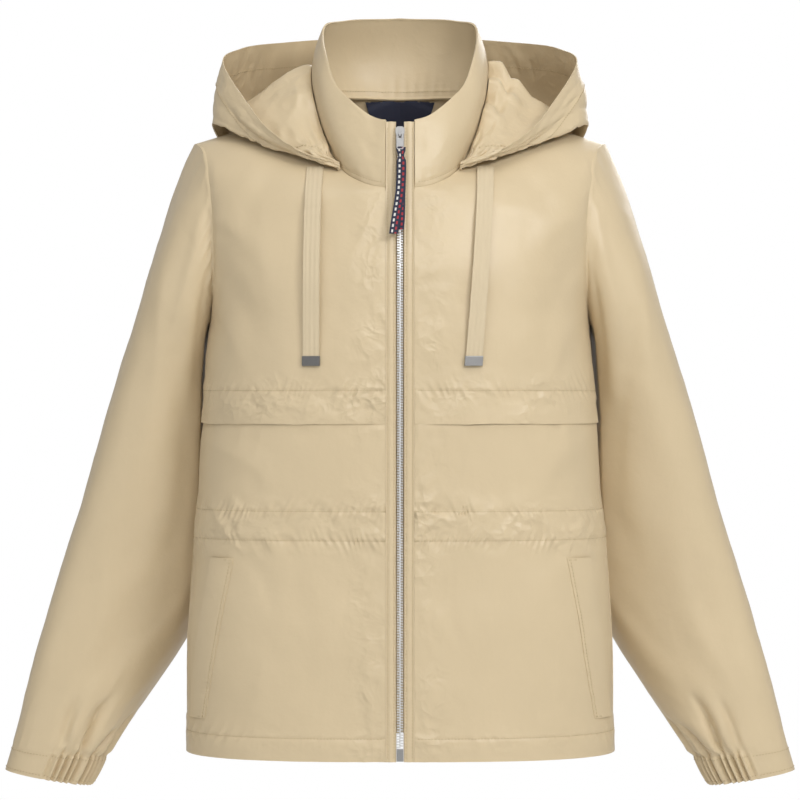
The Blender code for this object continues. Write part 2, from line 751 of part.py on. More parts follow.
def front_line(z):
    """Depth of the closed front's middle line at a height, torso and collar."""
    neck_z = neck(0)[2]
    if z <= neck_z:
        return read(PROFILE, "front_y", z) if z < -0.100 else blend_line(z)
    share = (z - neck_z) / (COLLAR_TOP["z"][0] - neck_z)
    return -NECK_FRONT + (NECK_FRONT - COLLAR_FRONT) * share


def blend_line(z):
    """Middle line just under the neck seam."""
    low = read(PROFILE, "front_y", -0.100)
    return low + (-NECK_FRONT - low) * (z + 0.100) / (neck(0)[2] + 0.100)


def front_strip(name, x_low, x_high, heights, outer_off, thickness, made):
    """A strip along the closed front, between two widths, its face set out from the middle line."""
    outer = []
    inner = []
    for z in heights:
        slope = (front_line(z + 0.002) - front_line(z - 0.002)) / 0.004
        out = unit(np.array([0, -1.0, slope]))
        for rows, off in ((outer, outer_off), (inner, outer_off - thickness)):
            low = np.array([x_low, front_line(z), z]) + out * off
            high = np.array([x_high, front_line(z), z]) + out * off
            rows.append(np.array([low, high]))
    return wall(name, outer, inner, made)


FRONT_HEIGHTS = (HEM_Z, -0.60, -0.55, -0.50, -0.45, -0.41, -0.37, -0.33, -0.29, -0.25, -0.21, -0.18, -0.15,
                 -0.125, -0.105, -0.093, -0.083, -0.065, -0.045)
welt_heights = FRONT_HEIGHTS + (-0.0235,)
chain_heights = FRONT_HEIGHTS + (ZIP_TOP_Z,)
for side, label in ((1, "left"), (-1, "right")):
    edges = sorted((side * ZIP_WELT_INNER, side * (FRONT_EDGE - SEAM_GAP / 2)))
    front_strip("zip_welt_" + label, *edges, welt_heights, 0.0006, 0.0022, CLOTH_MADE)
    edges = sorted((side * (ZIP_HALF_CHAIN + 0.0003), side * ZIP_TAPE_OUTER))
    front_strip("zip_tape_" + label, *edges, chain_heights, -0.0036, 0.0009, ZIP_CLOTH_MADE)
box_heights = (HEM_Z + 0.0005, HEM_Z + 0.0125)
chain_low = (HEM_Z + 0.0129,) + chain_heights[1:]
front_strip("zip_chain", -ZIP_HALF_CHAIN, ZIP_HALF_CHAIN, chain_low, -0.0008, 0.0026, METAL_MADE)
front_strip("zip_box", -ZIP_HALF_CHAIN, ZIP_HALF_CHAIN, box_heights, -0.0003, 0.0032, METAL_MADE)


def box_faces():
    """Faces of a block whose corners run low then high."""
    return [(0, 1, 3, 2), (4, 6, 7, 5), (0, 4, 5, 1), (2, 3, 7, 6), (0, 2, 6, 4), (1, 5, 7, 3)]


def plate(points_a, points_b):
    """Corner rows of a flat plate's two outlines joined into closed faces."""
    count = len(points_a)
    faces = [tuple(range(count)), tuple(range(2 * count - 1, count - 1, -1))]
    for k in range(count):
        n = (k + 1) % count
        faces.append((n, k, k + count, n + count))
    return np.concatenate([points_a, points_b]), faces


SLIDER_BACK_Y = front_line(SLIDER_Z) - 0.0016
SLIDER_FRONT_Y = SLIDER_BACK_Y - 0.0024
TAB_AXIS = np.array([0.0, SLIDER_FRONT_Y - 0.0022, SLIDER_Z - 0.0010])
TAB_LEAN = math.radians(17)
TAB_HALF_THICK = 0.0007
BAIL_HALF_WIDTH = 0.0009
SLIDER_OUTLINE = table("x z", (-0.0026, -0.0075), (0.0026, -0.0075), (0.0044, 0.0010), (0.0044, 0.0050),
                       (0.0022, 0.0066), (-0.0022, 0.0066), (-0.0044, 0.0050), (-0.0044, 0.0010))
BAIL_OUTLINE = table("y z", (0.0024, 0.0026), (-0.0014, 0.0026), (-0.0020, 0.0020), (-0.0020, -0.0020),
                     (-0.0014, -0.0026), (0.0024, -0.0026), (0.0024, -0.0017), (-0.0009, -0.0017),
                     (-0.0012, -0.0014), (-0.0012, 0.0014), (-0.0009, 0.0017), (0.0024, 0.0017))
TAB_OUTLINE = table("x z", (-0.0024, -0.0160), (0.0024, -0.0160), (0.0036, -0.0145), (0.0036, -0.0020),
                    (0.0030, 0.0007), (-0.0030, 0.0007), (-0.0036, -0.0020), (-0.0036, -0.0145))
TAB_SLOT = table("x z", (-0.0016, -0.0046), (0.0016, -0.0046), (0.0016, -0.0007), (-0.0016, -0.0007))
RIBBON_SLOT = table("x z", (-0.0023, -0.0150), (0.0023, -0.0150), (0.0023, -0.0132), (-0.0023, -0.0132))


def flat_outline(sizes, y):
    """Outline of an upright plate at a depth."""
    return np.stack([sizes["x"], np.full(len(sizes["x"]), y), sizes["z"]], axis=1)


def side_outline(sizes, x):
    """Outline of a strap seen from the side."""
    return np.stack([np.full(len(sizes["y"]), x), sizes["y"], sizes["z"]], axis=1)


def lean(points):
    """Points about the tab's axis, leaned forward along the sloping front."""
    cos = math.cos(TAB_LEAN)
    sin = math.sin(TAB_LEAN)
    x, y, z = points.T
    return np.stack([x, y * cos + z * sin, z * cos - y * sin], axis=1)


def combine(target, tool, operation):
    """Join or cut one object with another, and take the tool away."""
    step = target.modifiers.new(operation.lower(), "BOOLEAN")
    step.operation = operation
    step.solver = "EXACT"
    step.object = tool
    with bpy.context.temp_override(object=target, active_object=target):
        bpy.ops.object.modifier_apply(modifier=step.name)
    bpy.data.objects.remove(tool)


points, faces = plate(flat_outline(SLIDER_OUTLINE, SLIDER_FRONT_Y), flat_outline(SLIDER_OUTLINE, SLIDER_BACK_Y))
slider = solid("zip_slider", points + np.array([0, 0, SLIDER_Z]), faces, METAL_MADE, smooth=False)
points, faces = plate(side_outline(BAIL_OUTLINE, -BAIL_HALF_WIDTH), side_outline(BAIL_OUTLINE, BAIL_HALF_WIDTH))
bail = solid("bail", points + TAB_AXIS, faces, METAL_MADE, smooth=False)
combine(slider, bail, "UNION")

points, faces = plate(flat_outline(TAB_OUTLINE, -TAB_HALF_THICK), flat_outline(TAB_OUTLINE, TAB_HALF_THICK))
tab = solid("zip_pull_tab", lean(points) + TAB_AXIS, faces, METAL_MADE, tuple(TAB_AXIS), smooth=False)
for opening in (TAB_SLOT, RIBBON_SLOT):
    points, faces = plate(flat_outline(opening, -0.004), flat_outline(opening, 0.004))
    cutter = solid("slot", lean(points) + TAB_AXIS, faces, METAL_MADE, smooth=False)
    combine(tab, cutter, "DIFFERENCE")

RIBBON_HALF = 0.0050
RIBBON_THICK = 0.0016
RIBBON = table(
    "drop shift stand",
    (0.0164, 0.0010, 0.0000),
    (0.0320, 0.0014, 0.0004),
    (0.0520, 0.0008, 0.0006),
    (0.0760, -0.0012, 0.0006),
    (0.1030, -0.0042, 0.0004),
)
ribbon_outer = []
ribbon_inner = []
for k, drop in enumerate(RIBBON["drop"]):
    hung = lean(np.array([[0.0, 0.0, -drop]]))[0] + TAB_AXIS
    depth = min(hung[1], front_line(hung[2]) - 0.0046) - RIBBON["stand"][k]
    for rows, off in ((ribbon_outer, -RIBBON_THICK / 2), (ribbon_inner, RIBBON_THICK / 2)):
        low = np.array([RIBBON["shift"][k] - RIBBON_HALF, depth + off, hung[2]])
        rows.append(np.array([low, low + np.array([2 * RIBBON_HALF, 0, 0])]))
wall("pull_ribbon", ribbon_outer, ribbon_inner, RIBBON_MADE, origin=tuple(TAB_AXIS))


def on_front(x, z):
    """Point and outward normal of the front at a place seen from the front."""
    best = None
    for level in np.linspace(level_of(-0.300), 1.9, 90):
        curve = torso_curve("front", level)
        run = np.concatenate([[0], np.cumsum(np.linalg.norm(np.diff(curve, axis=0), axis=1))])
        share = np.interp(abs(x), curve[:, 0], run / run[-1])
        spot, normal = torso_row("front", level, np.array([share]))
        miss = abs(spot[0][2] - z)
        if best is None or miss < best[0]:
            best = (miss, spot[0], normal[0])
    flip = np.array([np.sign(x), 1, 1])
    return best[1] * flip, best[2] * flip


TIP_HEIGHT = 0.0095
for row in range(2):
    side = DRAWSTRING["side"][row]
    label = "left" if side > 0 else "right"
    outer = []
    inner = []
    for share in np.linspace(0, 1, 12):
        x = DRAWSTRING["top_x"][row] + (DRAWSTRING["low_x"][row] - DRAWSTRING["top_x"][row]) * share
        z = DRAWSTRING["top_z"][row] + (DRAWSTRING["low_z"][row] - DRAWSTRING["top_z"][row]) * share
        spot, normal = on_front(x, z)
        across = unit(np.cross(np.array([0, 0, 1.0]), normal))
        base = spot + normal * (0.0022 + 0.0030 * math.sin(math.pi * share))
        ends = np.array([base - across * TAPE_WIDTH / 2, base + across * TAPE_WIDTH / 2])
        outer.append(ends + normal * TAPE_THICK)
        inner.append(ends)
    wall("drawstring_" + label, outer, inner, CORD_MADE)
    down = unit(outer[-1].mean(axis=0) - outer[-2].mean(axis=0))
    across = unit(outer[-1][1] - outer[-1][0])
    normal = unit(outer[-1][0] - inner[-1][0])
    top = (outer[-1].mean(axis=0) + inner[-1].mean(axis=0)) / 2 + down * 0.0003
    corners = [top + across * sx * 0.0088 + normal * sy * 0.0014 + down * sz * TIP_HEIGHT
               for sz in (0, 1) for sy in (-1, 1) for sx in (-1, 1)]
    tip_made = METAL_MADE if side > 0 else DARK_METAL_MADE
    solid("drawstring_tip_" + label, corners, box_faces(), tip_made, smooth=False)


def on_back(x, z):
    """Point of the back and its direction into the body, at a place seen from the front."""
    spot, normal, _, _ = torso_tree.ray_cast(Vector((max(x, 0.0002), 0, z)), Vector((0, 1, 0)))
    facing = np.array(normal) if normal[1] < 0 else -np.array(normal)
    return np.array([x, spot[1], spot[2]]), facing if x > 0 else unit(facing * np.array([0, 1, 1]))


label_outer = []
label_inner = []
for drop in np.linspace(0.0025, LABEL_HEIGHT, 5):
    half = LABEL_TOP_HALF + (LABEL_LOW_HALF - LABEL_TOP_HALF) * float(ease((drop - 0.006) / 0.02))
    spots, facings = zip(*(on_back(x, neck(180)[2] - drop) for x in np.linspace(0, half, 4)))
    for rows, off in ((label_outer, CLOTH + 0.0018), (label_inner, CLOTH + 0.0028)):
        left = np.array(spots) + np.array(facings) * off
        rows.append(np.concatenate([mirrored(left, -1), left[1:]]))
wall("neck_label", label_outer, label_inner, LABEL_MADE)

for side, label in ((1, "left"), (-1, "right")):
    outer = []
    inner = []
    for z in np.linspace(POCKET["z"][0], POCKET["z"][1], 8):
        length = curve_length(torso_curve("front", level_of(z)))
        start = share_of("front", z, read(POCKET, "inner_x", z))
        shares = np.linspace(start, start + POCKET_WIDTH / length, 4)
        spots, normals = torso_row("front", level_of(z), shares)
        outer.append(mirrored(spots + normals * (0.0005 + CLOTH), side))
        inner.append(mirrored(spots + normals * 0.0005, side))
    wall("pocket_welt_" + label, outer, inner, CLOTH_MADE)
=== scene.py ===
"""Dressing of the hooded jacket: cloth shells, stitching, zip teeth and materials over the solids."""
import math

import bmesh
import bpy
import numpy as np
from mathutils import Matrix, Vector
from mathutils.bvhtree import BVHTree


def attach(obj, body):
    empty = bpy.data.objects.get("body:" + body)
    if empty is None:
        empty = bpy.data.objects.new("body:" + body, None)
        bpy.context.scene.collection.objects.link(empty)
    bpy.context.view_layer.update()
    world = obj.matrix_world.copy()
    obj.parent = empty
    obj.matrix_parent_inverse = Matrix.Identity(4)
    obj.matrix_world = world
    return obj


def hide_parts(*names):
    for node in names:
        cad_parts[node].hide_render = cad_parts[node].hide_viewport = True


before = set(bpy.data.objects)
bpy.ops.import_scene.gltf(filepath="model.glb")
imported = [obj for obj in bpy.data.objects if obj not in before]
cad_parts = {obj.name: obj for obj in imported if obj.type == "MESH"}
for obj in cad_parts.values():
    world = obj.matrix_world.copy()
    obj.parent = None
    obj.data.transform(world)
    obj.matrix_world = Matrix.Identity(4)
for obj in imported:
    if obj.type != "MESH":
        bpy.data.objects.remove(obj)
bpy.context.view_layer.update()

scene = bpy.context.scene
scene.view_settings.view_transform = "Standard"

CAMERA_AWAY = 3.0
CAMERA_Z = -0.290
FIELD = 0.8
SENSOR = 36.0

camera_data = bpy.data.cameras.new("camera")
camera_data.sensor_width = SENSOR
camera_data.lens = SENSOR * CAMERA_AWAY / FIELD
camera = bpy.data.objects.new("camera", camera_data)
camera.location = (0, -CAMERA_AWAY, CAMERA_Z)
camera.rotation_euler = (math.pi / 2, 0, 0)
scene.collection.objects.link(camera)
scene.camera = camera

# Sizes in metres, the same as the solids' own.
CLOTH = 0.0014
FINE_CLOTH = 0.0009
HEM_Z = -0.6365
UNDERARM_Z = -0.214
FRONT_EDGE = 0.0135
FRONT_BEND = 2.5
BACK_BEND = 2.3
ROW_SAMPLES = 121
FLAP_EDGE_Z = -0.313
FLAP_STITCH_Z = -0.281
LOWER_FRONT_TOP_Z = -0.288
WAIST_TOP_Z = -0.397
WAIST_LOW_Z = -0.425
HEM_STITCH_Z = -0.6145
NECK_HALF_WIDTH = 0.080
NECK_FRONT = 0.120
NECK_BACK = 0.066
FRONT_NECK_SHARE = 0.45
BACK_NECK_SHARE = 0.75
ARMHOLE_Y = 0.004
ARMHOLE_Z = -0.124
ARMHOLE_HALF_HEIGHT = 0.090
ARMHOLE_HALF_DEPTH = 0.067
COLLAR_HALF_WIDTH = 0.078
COLLAR_FRONT = 0.104
COLLAR_BACK = 0.060
COLLAR_BULGE = 0.009
HOOD_CENTRE_Y = -0.010
HOOD_FRONT_ANGLE = 44.0
HOOD_CLEAR = 0.0028
HOOD_COLLAR_CLEAR = 0.0012
HOOD_OVER_SLEEVE_X = 0.17
HOOD_CASING_COLUMN = 86
HOOD_FOLD_SHARE = 0.6
HOOD_CASING = 0.027
SLEEVE_CLEAR = 0.0030
SEAM_STAND = 0.0006
CUFF_GATHERS = 20
CUFF_WAVE = 0.0017
CUFF_PINCH = 0.035
ZIP_HALF_CHAIN = 0.0031
ZIP_WELT_INNER = 0.0042
ZIP_TOP_Z = -0.030
TAPE_WIDTH = 0.016
TAPE_THICK = 0.0012
LABEL_TOP_HALF = 0.037
LABEL_LOW_HALF = 0.026
LABEL_HEIGHT = 0.034
POCKET_WIDTH = 0.030
TURNING = 0.003
TURNING_DEPTH = 0.0015
SEAM_TRIM = 0.00015
TOP_LEVEL = 1.9992
COLLAR_THICK = 0.0018
COLLAR_STITCH_RISE = 0.08
COLLAR_BACK_COLUMNS = slice(70, 150)
WELT_THICK = 0.0016
WELT_STITCHES = (0.0058, 0.0116)
LOWER_STITCHES = (HEM_STITCH_Z, WAIST_LOW_Z, WAIST_TOP_Z)
CUFF_STITCH_ROWS = (5, -4)
LOWER_COLUMNS = 176
YOKE_COLUMNS = 150
BACK_COLUMNS = 110
LOWER_SEED = 100
YOKE_SEED = 150
BACK_SEED = 210
SLEEVE_SEED = 300
CUFF_SEED = 350
COLLAR_SEED = 410
HOOD_SEED = 500
WELT_SEEDS = (610, 620)
POCKET_SEED = 640
POCKET_COLUMNS = 18
SIDES = [(side, label, np.array([side, 1, 1])) for side, label in ((1, "_left"), (-1, "_right"))]


def table(names, *rows):
    """Named columns of a short table; the first column is the key."""
    columns = names.split()
    return {name: np.array([row[i] for row in rows], float) for i, name in enumerate(columns)}


BODY = table(
    "z half_width side_y",
    (-0.637, 0.2120, -0.014),
    (-0.530, 0.2115, -0.014),
    (-0.460, 0.2075, -0.014),
    (-0.425, 0.2045, -0.013),
    (-0.397, 0.2012, -0.012),
    (-0.313, 0.1962, -0.008),
    (-0.214, 0.1900, 0.004),
)
PROFILE = table(
    "z front_y back_y",
    (-0.637, -0.131, 0.122),
    (-0.520, -0.132, 0.117),
    (-0.411, -0.131, 0.107),
    (-0.313, -0.134, 0.105),
    (-0.214, -0.136, 0.110),
    (-0.150, -0.1335, 0.110),
    (-0.086, -0.119, 0.101),
    (-0.030, -0.106, 0.085),
    (0.018, -0.100, 0.066),
)
UPPER = table(
    "rise front_turn back_turn",
    (0.00, 90, 90),
    (0.20, 78, 78),
    (0.50, 64, 66),
    (0.75, 50, 54),
    (1.00, 30, 30),
)
NECK = table(
    "angle z",
    (0, -0.088),
    (25, -0.081),
    (44, -0.067),
    (68, -0.030),
    (90, 0.003),
    (115, 0.015),
    (145, 0.018),
    (180, 0.018),
)
ARMHOLE = table(
    "angle front_x back_x",
    (-90, 0.190, 0.190),
    (-45, 0.185, 0.184),
    (0, 0.185, 0.182),
    (35, 0.190, 0.187),
    (62, 0.195, 0.195),
    (90, 0.206, 0.206),
)
COLLAR_TOP = table(
    "angle z",
    (0, -0.022),
    (19, -0.016),
    (39, 0.003),
    (54, 0.020),
    (70, 0.050),
    (90, 0.077),
    (135, 0.095),
    (180, 0.0995),
)
SLEEVE = table(
    "along outer_x outer_y outer_z inner_x inner_y inner_z depth",
    (0.00, 0.206, 0.004, -0.034, 0.190, 0.004, -0.214, 0.067),
    (0.08, 0.221, 0.006, -0.068, 0.192, 0.008, -0.226, 0.069),
    (0.20, 0.242, 0.010, -0.130, 0.193, 0.018, -0.246, 0.070),
    (0.35, 0.266, 0.016, -0.212, 0.190, 0.038, -0.282, 0.068),
    (0.50, 0.293, 0.023, -0.300, 0.184, 0.058, -0.345, 0.064),
    (0.65, 0.322, 0.029, -0.400, 0.183, 0.068, -0.432, 0.057),
    (0.80, 0.3515, 0.033, -0.493, 0.210, 0.068, -0.518, 0.049),
    (0.92, 0.375, 0.031, -0.574, 0.262, 0.057, -0.598, 0.042),
    (1.00, 0.391, 0.028, -0.638, 0.300, 0.046, -0.651, 0.034),
)
CUFF_END = table(
    "along outer_x outer_y outer_z inner_x inner_y inner_z depth",
    (0.0, 0.391, 0.028, -0.638, 0.300, 0.046, -0.651, 0.034),
    (1.0, 0.398, 0.027, -0.662, 0.3145, 0.043, -0.679, 0.029),
)
CUFF_FOLDS = table(
    "around reach half_width height",
    (0.060, 0.060, 0.030, 0.0035),
    (0.135, 0.085, 0.032, 0.0045),
    (0.215, 0.100, 0.036, 0.0050),
    (0.800, 0.080, 0.036, 0.0045),
    (0.900, 0.070, 0.034, 0.0040),
)
HOOD = table(
    "fan fold_r fold_z rim_r rim_z rise bulge",
    (36, 0.0985, -0.066, 0.1000, -0.062, 0.000, 0.000),
    (50, 0.1180, -0.056, 0.1260, -0.048, 0.006, 0.001),
    (63, 0.1320, -0.047, 0.1410, -0.028, 0.013, 0.002),
    (78, 0.1580, -0.031, 0.1540, 0.003, 0.022, 0.002),
    (93, 0.1880, -0.014, 0.1770, 0.047, 0.031, 0.002),
    (110, 0.1860, -0.045, 0.1720, 0.067, 0.028, 0.010),
    (132, 0.1800, -0.090, 0.1600, 0.079, 0.016, 0.016),
    (156, 0.1680, -0.125, 0.1420, 0.086, 0.010, 0.022),
    (180, 0.1600, -0.140, 0.1320, 0.088, 0.008, 0.024),
)
DRAWSTRING = table(
    "side top_x top_z low_x low_z",
    (1, 0.0830, -0.0655, 0.0705, -0.250),
    (-1, -0.0825, -0.0655, -0.0845, -0.250),
)
POCKET = table(
    "z inner_x",
    (-0.600, 0.1900),
    (-0.443, 0.1620),
)

# Creases as lines on a piece: two ends, half width and height, a valley where the height is below zero.
YOKE_CREASES = table(
    "side x0 z0 x1 z1 half_width height",
    (-1, 0.180, -0.110, 0.120, -0.170, 0.016, 0.0016),
    (-1, 0.188, -0.150, 0.135, -0.235, 0.014, -0.0014),
    (-1, 0.186, -0.190, 0.150, -0.262, 0.012, 0.0012),
    (-1, 0.120, -0.060, 0.165, -0.120, 0.018, -0.0014),
    (-1, 0.060, -0.110, 0.050, -0.255, 0.022, 0.0010),
    (1, 0.178, -0.105, 0.130, -0.150, 0.015, 0.0015),
    (1, 0.186, -0.140, 0.140, -0.220, 0.015, -0.0015),
    (1, 0.188, -0.195, 0.145, -0.265, 0.012, 0.0013),
    (1, 0.115, -0.055, 0.160, -0.115, 0.018, -0.0013),
    (1, 0.055, -0.120, 0.060, -0.250, 0.020, 0.0009),
)
LOWER_CREASES = table(
    "side x0 z0 x1 z1 half_width height",
    (-1, 0.190, -0.330, 0.120, -0.372, 0.012, 0.0011),
    (-1, 0.150, -0.435, 0.120, -0.500, 0.012, -0.0010),
    (-1, 0.090, -0.430, 0.075, -0.560, 0.018, 0.0010),
    (-1, 0.045, -0.440, 0.060, -0.520, 0.012, -0.0008),
    (-1, 0.130, -0.540, 0.150, -0.610, 0.014, 0.0010),
    (1, 0.185, -0.325, 0.130, -0.380, 0.012, 0.0011),
    (1, 0.136, -0.402, 0.146, -0.434, 0.006, -0.0016),
    (1, 0.146, -0.430, 0.162, -0.444, 0.006, -0.0014),
    (1, 0.100, -0.430, 0.085, -0.550, 0.018, 0.0010),
    (1, 0.050, -0.435, 0.055, -0.530, 0.012, -0.0008),
    (1, 0.110, -0.520, 0.140, -0.610, 0.015, 0.0010),
)
BACK_CREASES = table(
    "x0 z0 x1 z1 half_width height",
    (0.165, -0.090, 0.060, -0.180, 0.018, 0.0030),
    (-0.160, -0.100, -0.050, -0.200, 0.018, 0.0030),
    (0.170, -0.170, 0.090, -0.300, 0.016, -0.0028),
    (-0.172, -0.180, -0.080, -0.290, 0.016, -0.0026),
    (0.030, -0.150, 0.045, -0.380, 0.022, 0.0024),
    (-0.060, -0.210, -0.040, -0.385, 0.020, -0.0022),
    (0.100, -0.430, 0.085, -0.600, 0.018, 0.0026),
    (-0.020, -0.430, -0.030, -0.570, 0.016, -0.0024),
    (-0.120, -0.430, -0.100, -0.605, 0.018, 0.0026),
    (0.165, -0.440, 0.150, -0.560, 0.014, -0.0022),
)
SLEEVE_CREASES = table(
    "side along0 around0 along1 around1 half_width height",
    (-1, 0.03, 0.30, 0.34, 0.25, 0.020, 0.0030),
    (-1, 0.04, 0.19, 0.42, 0.15, 0.018, -0.0028),
    (-1, 0.20, 0.34, 0.62, 0.30, 0.022, 0.0026),
    (-1, 0.40, 0.20, 0.78, 0.22, 0.020, -0.0026),
    (-1, 0.52, 0.12, 0.86, 0.17, 0.016, 0.0030),
    (-1, 0.70, 0.32, 0.95, 0.30, 0.016, 0.0024),
    (-1, 0.10, 0.66, 0.60, 0.70, 0.022, 0.0032),
    (-1, 0.35, 0.78, 0.85, 0.76, 0.020, -0.0030),
    (-1, 0.55, 0.62, 0.92, 0.66, 0.018, 0.0028),
    (1, 0.03, 0.29, 0.30, 0.24, 0.020, 0.0028),
    (1, 0.05, 0.18, 0.45, 0.16, 0.018, -0.0030),
    (1, 0.22, 0.36, 0.60, 0.32, 0.022, 0.0026),
    (1, 0.38, 0.22, 0.74, 0.20, 0.020, -0.0024),
    (1, 0.50, 0.11, 0.88, 0.16, 0.016, 0.0030),
    (1, 0.66, 0.30, 0.96, 0.31, 0.016, 0.0026),
    (1, 0.12, 0.68, 0.58, 0.69, 0.022, 0.0032),
    (1, 0.30, 0.79, 0.80, 0.77, 0.020, -0.0030),
    (1, 0.58, 0.61, 0.94, 0.67, 0.018, 0.0026),
)
CUFF_VALLEYS = table(
    "side along0 around0 along1 around1 half_width height",
    (-1, 1.000, 0.224, 0.925, 0.258, 0.0070, -0.0075),
    (-1, 1.000, 0.164, 0.920, 0.182, 0.0070, -0.0080),
    (-1, 1.000, 0.113, 0.960, 0.088, 0.0065, -0.0070),
    (-1, 1.000, 0.045, 0.935, 0.050, 0.0070, -0.0065),
    (-1, 1.000, 0.960, 0.930, 0.950, 0.0070, -0.0065),
    (-1, 1.000, 0.850, 0.925, 0.830, 0.0070, -0.0075),
    (1, 1.000, 0.230, 0.925, 0.250, 0.0070, -0.0075),
    (1, 1.000, 0.170, 0.915, 0.192, 0.0070, -0.0080),
    (1, 1.000, 0.120, 0.950, 0.100, 0.0065, -0.0065),
    (1, 1.000, 0.055, 0.940, 0.050, 0.0070, -0.0065),
    (1, 1.000, 0.930, 0.930, 0.940, 0.0070, -0.0065),
    (1, 1.000, 0.830, 0.925, 0.820, 0.0070, -0.0075),
)
HOOD_CRUMPLE = table(
    "share up",
    (0.18, 0.000),
    (0.235, 0.001),
    (0.27, -0.009),
    (0.305, -0.004),
    (0.36, -0.009),
    (0.43, -0.006),
    (0.48, 0.000),
    (0.53, 0.007),
    (0.58, 0.000),
)
HOOD_CREASES = table(
    "side fan0 share0 fan1 share1 half_width height",
    (1, 62, 0.05, 66, 0.32, 0.009, 0.0045),
    (1, 72, 0.05, 70, 0.30, 0.008, -0.0050),
    (1, 77, 0.06, 80, 0.34, 0.008, 0.0050),
    (1, 86, 0.04, 84, 0.30, 0.008, -0.0055),
    (1, 94, 0.05, 90, 0.36, 0.010, 0.0050),
    (1, 104, 0.06, 108, 0.40, 0.012, -0.0045),
    (1, 60, 0.66, 90, 0.84, 0.014, 0.0020),
    (1, 100, 0.68, 150, 0.86, 0.018, 0.0035),
    (1, 120, 0.45, 172, 0.55, 0.016, -0.0035),
    (1, 44, 0.20, 52, 0.50, 0.006, 0.0018),
    (-1, 58, 0.06, 80, 0.34, 0.014, 0.0030),
    (-1, 84, 0.04, 112, 0.26, 0.014, -0.0028),
    (-1, 58, 0.68, 92, 0.82, 0.014, 0.0020),
    (-1, 104, 0.66, 146, 0.86, 0.018, 0.0035),
    (-1, 124, 0.42, 170, 0.55, 0.016, -0.0030),
    (-1, 43, 0.25, 51, 0.55, 0.006, 0.0018),
)


# Curves and the plain torso surface.

def through(keys, values, at):
    """Smooth curve through key and value pairs."""
    slopes = np.gradient(values, keys)
    i = np.clip(np.searchsorted(keys, at) - 1, 0, len(keys) - 2)
    span = keys[i + 1] - keys[i]
    t = (at - keys[i]) / span
    first = (2 * t**3 - 3 * t**2 + 1) * values[i] + (t**3 - 2 * t**2 + t) * span * slopes[i]
    second = (3 * t**2 - 2 * t**3) * values[i + 1] + (t**3 - t**2) * span * slopes[i + 1]
    return first + second


def read(sizes, name, key):
    """One column of a table at a key between its rows."""
    return through(next(iter(sizes.values())), sizes[name], key)


def ease(t):
    """Step from 0 to 1 with level ends."""
    t = np.clip(t, 0.0, 1.0)
    return t * t * (3 - 2 * t)


def hill(away, half):
    """Value that is 1 at a place and falls off smoothly on both sides."""
    return np.exp(-(away / half) ** 2)


def unit(vectors):
    """Vectors of length one."""
    return vectors / np.maximum(np.linalg.norm(vectors, axis=-1, keepdims=True), 1e-12)


def neck(degrees):
    """Neck seam on the wearer's left, 0 at the front and 180 at the back."""
    a = math.radians(degrees)
    depth = NECK_FRONT if degrees < 90 else NECK_BACK
    return np.array([NECK_HALF_WIDTH * math.sin(a), -depth * math.cos(a), read(NECK, "z", degrees)])


def armhole(panel, rise):
    """Armhole seam of the left side, 0 at the underarm and 1 at the shoulder."""
    degrees = -90 + 180 * rise
    a = math.radians(degrees)
    way = -1 if panel == "front" else 1
    y = ARMHOLE_Y + way * ARMHOLE_HALF_DEPTH * math.cos(a)
    z = ARMHOLE_Z + ARMHOLE_HALF_HEIGHT * math.sin(a)
    return np.array([read(ARMHOLE, panel + "_x", degrees), y, z])


NECK_START = math.degrees(math.asin(FRONT_EDGE / NECK_HALF_WIDTH))


def middle_edge(panel, rise):
    """Centre edge of a panel from the underarm level up, and on along the neck to the shoulder."""
    if panel == "front":
        top = neck(NECK_START)
        if rise < FRONT_NECK_SHARE:
            z = UNDERARM_Z + (top[2] - UNDERARM_Z) * rise / FRONT_NECK_SHARE
            return np.array([FRONT_EDGE, read(PROFILE, "front_y", z), z])
        share = (rise - FRONT_NECK_SHARE) / (1 - FRONT_NECK_SHARE)
        return neck(NECK_START + (90 - NECK_START) * share)
    top = neck(180)
    if rise < BACK_NECK_SHARE:
        z = UNDERARM_Z + (top[2] - UNDERARM_Z) * rise / BACK_NECK_SHARE
        return np.array([0.0, read(PROFILE, "back_y", z), z])
    share = (rise - BACK_NECK_SHARE) / (1 - BACK_NECK_SHARE)
    return neck(180 - 90 * share)


def torso_curve(panel, level):
    """One row of a left panel: level 0 is the hem, 1 the underarm and 2 the shoulder seam."""
    bend = FRONT_BEND if panel == "front" else BACK_BEND
    if level <= 1:
        z = HEM_Z + (UNDERARM_Z - HEM_Z) * level
        start = np.array([FRONT_EDGE if panel == "front" else 0.0, read(PROFILE, panel + "_y", z), z])
        end = np.array([read(BODY, "half_width", z), read(BODY, "side_y", z), z])
        turn = 90.0
    else:
        start = middle_edge(panel, level - 1)
        end = armhole(panel, level - 1)
        turn = read(UPPER, panel + "_turn", level - 1)
    phi = np.radians(np.linspace(0, turn, ROW_SAMPLES))
    across = np.sin(phi) ** (2 / bend)
    away = 1 - np.maximum(np.cos(phi), 0) ** (2 / bend)
    across = across / across[-1]
    away = away / away[-1]
    return start + (end - start) * np.stack([across, away, across], axis=1)


def run_along(curve):
    """Distance along a curve at each of its points."""
    return np.concatenate([[0], np.cumsum(np.linalg.norm(np.diff(curve, axis=0), axis=1))])


def at_run(run, curve, at):
    """Points of a curve at distances along it."""
    return np.stack([np.interp(at, run, curve[:, i]) for i in range(3)], axis=-1)


def along_curve(curve, shares):
    """Points of a curve at shares of its length."""
    run = run_along(curve)
    return at_run(run, curve, np.clip(shares, 0, 1) * run[-1])


def curve_length(curve):
    """Length of a curve."""
    return float(np.linalg.norm(np.diff(curve, axis=0), axis=1).sum())


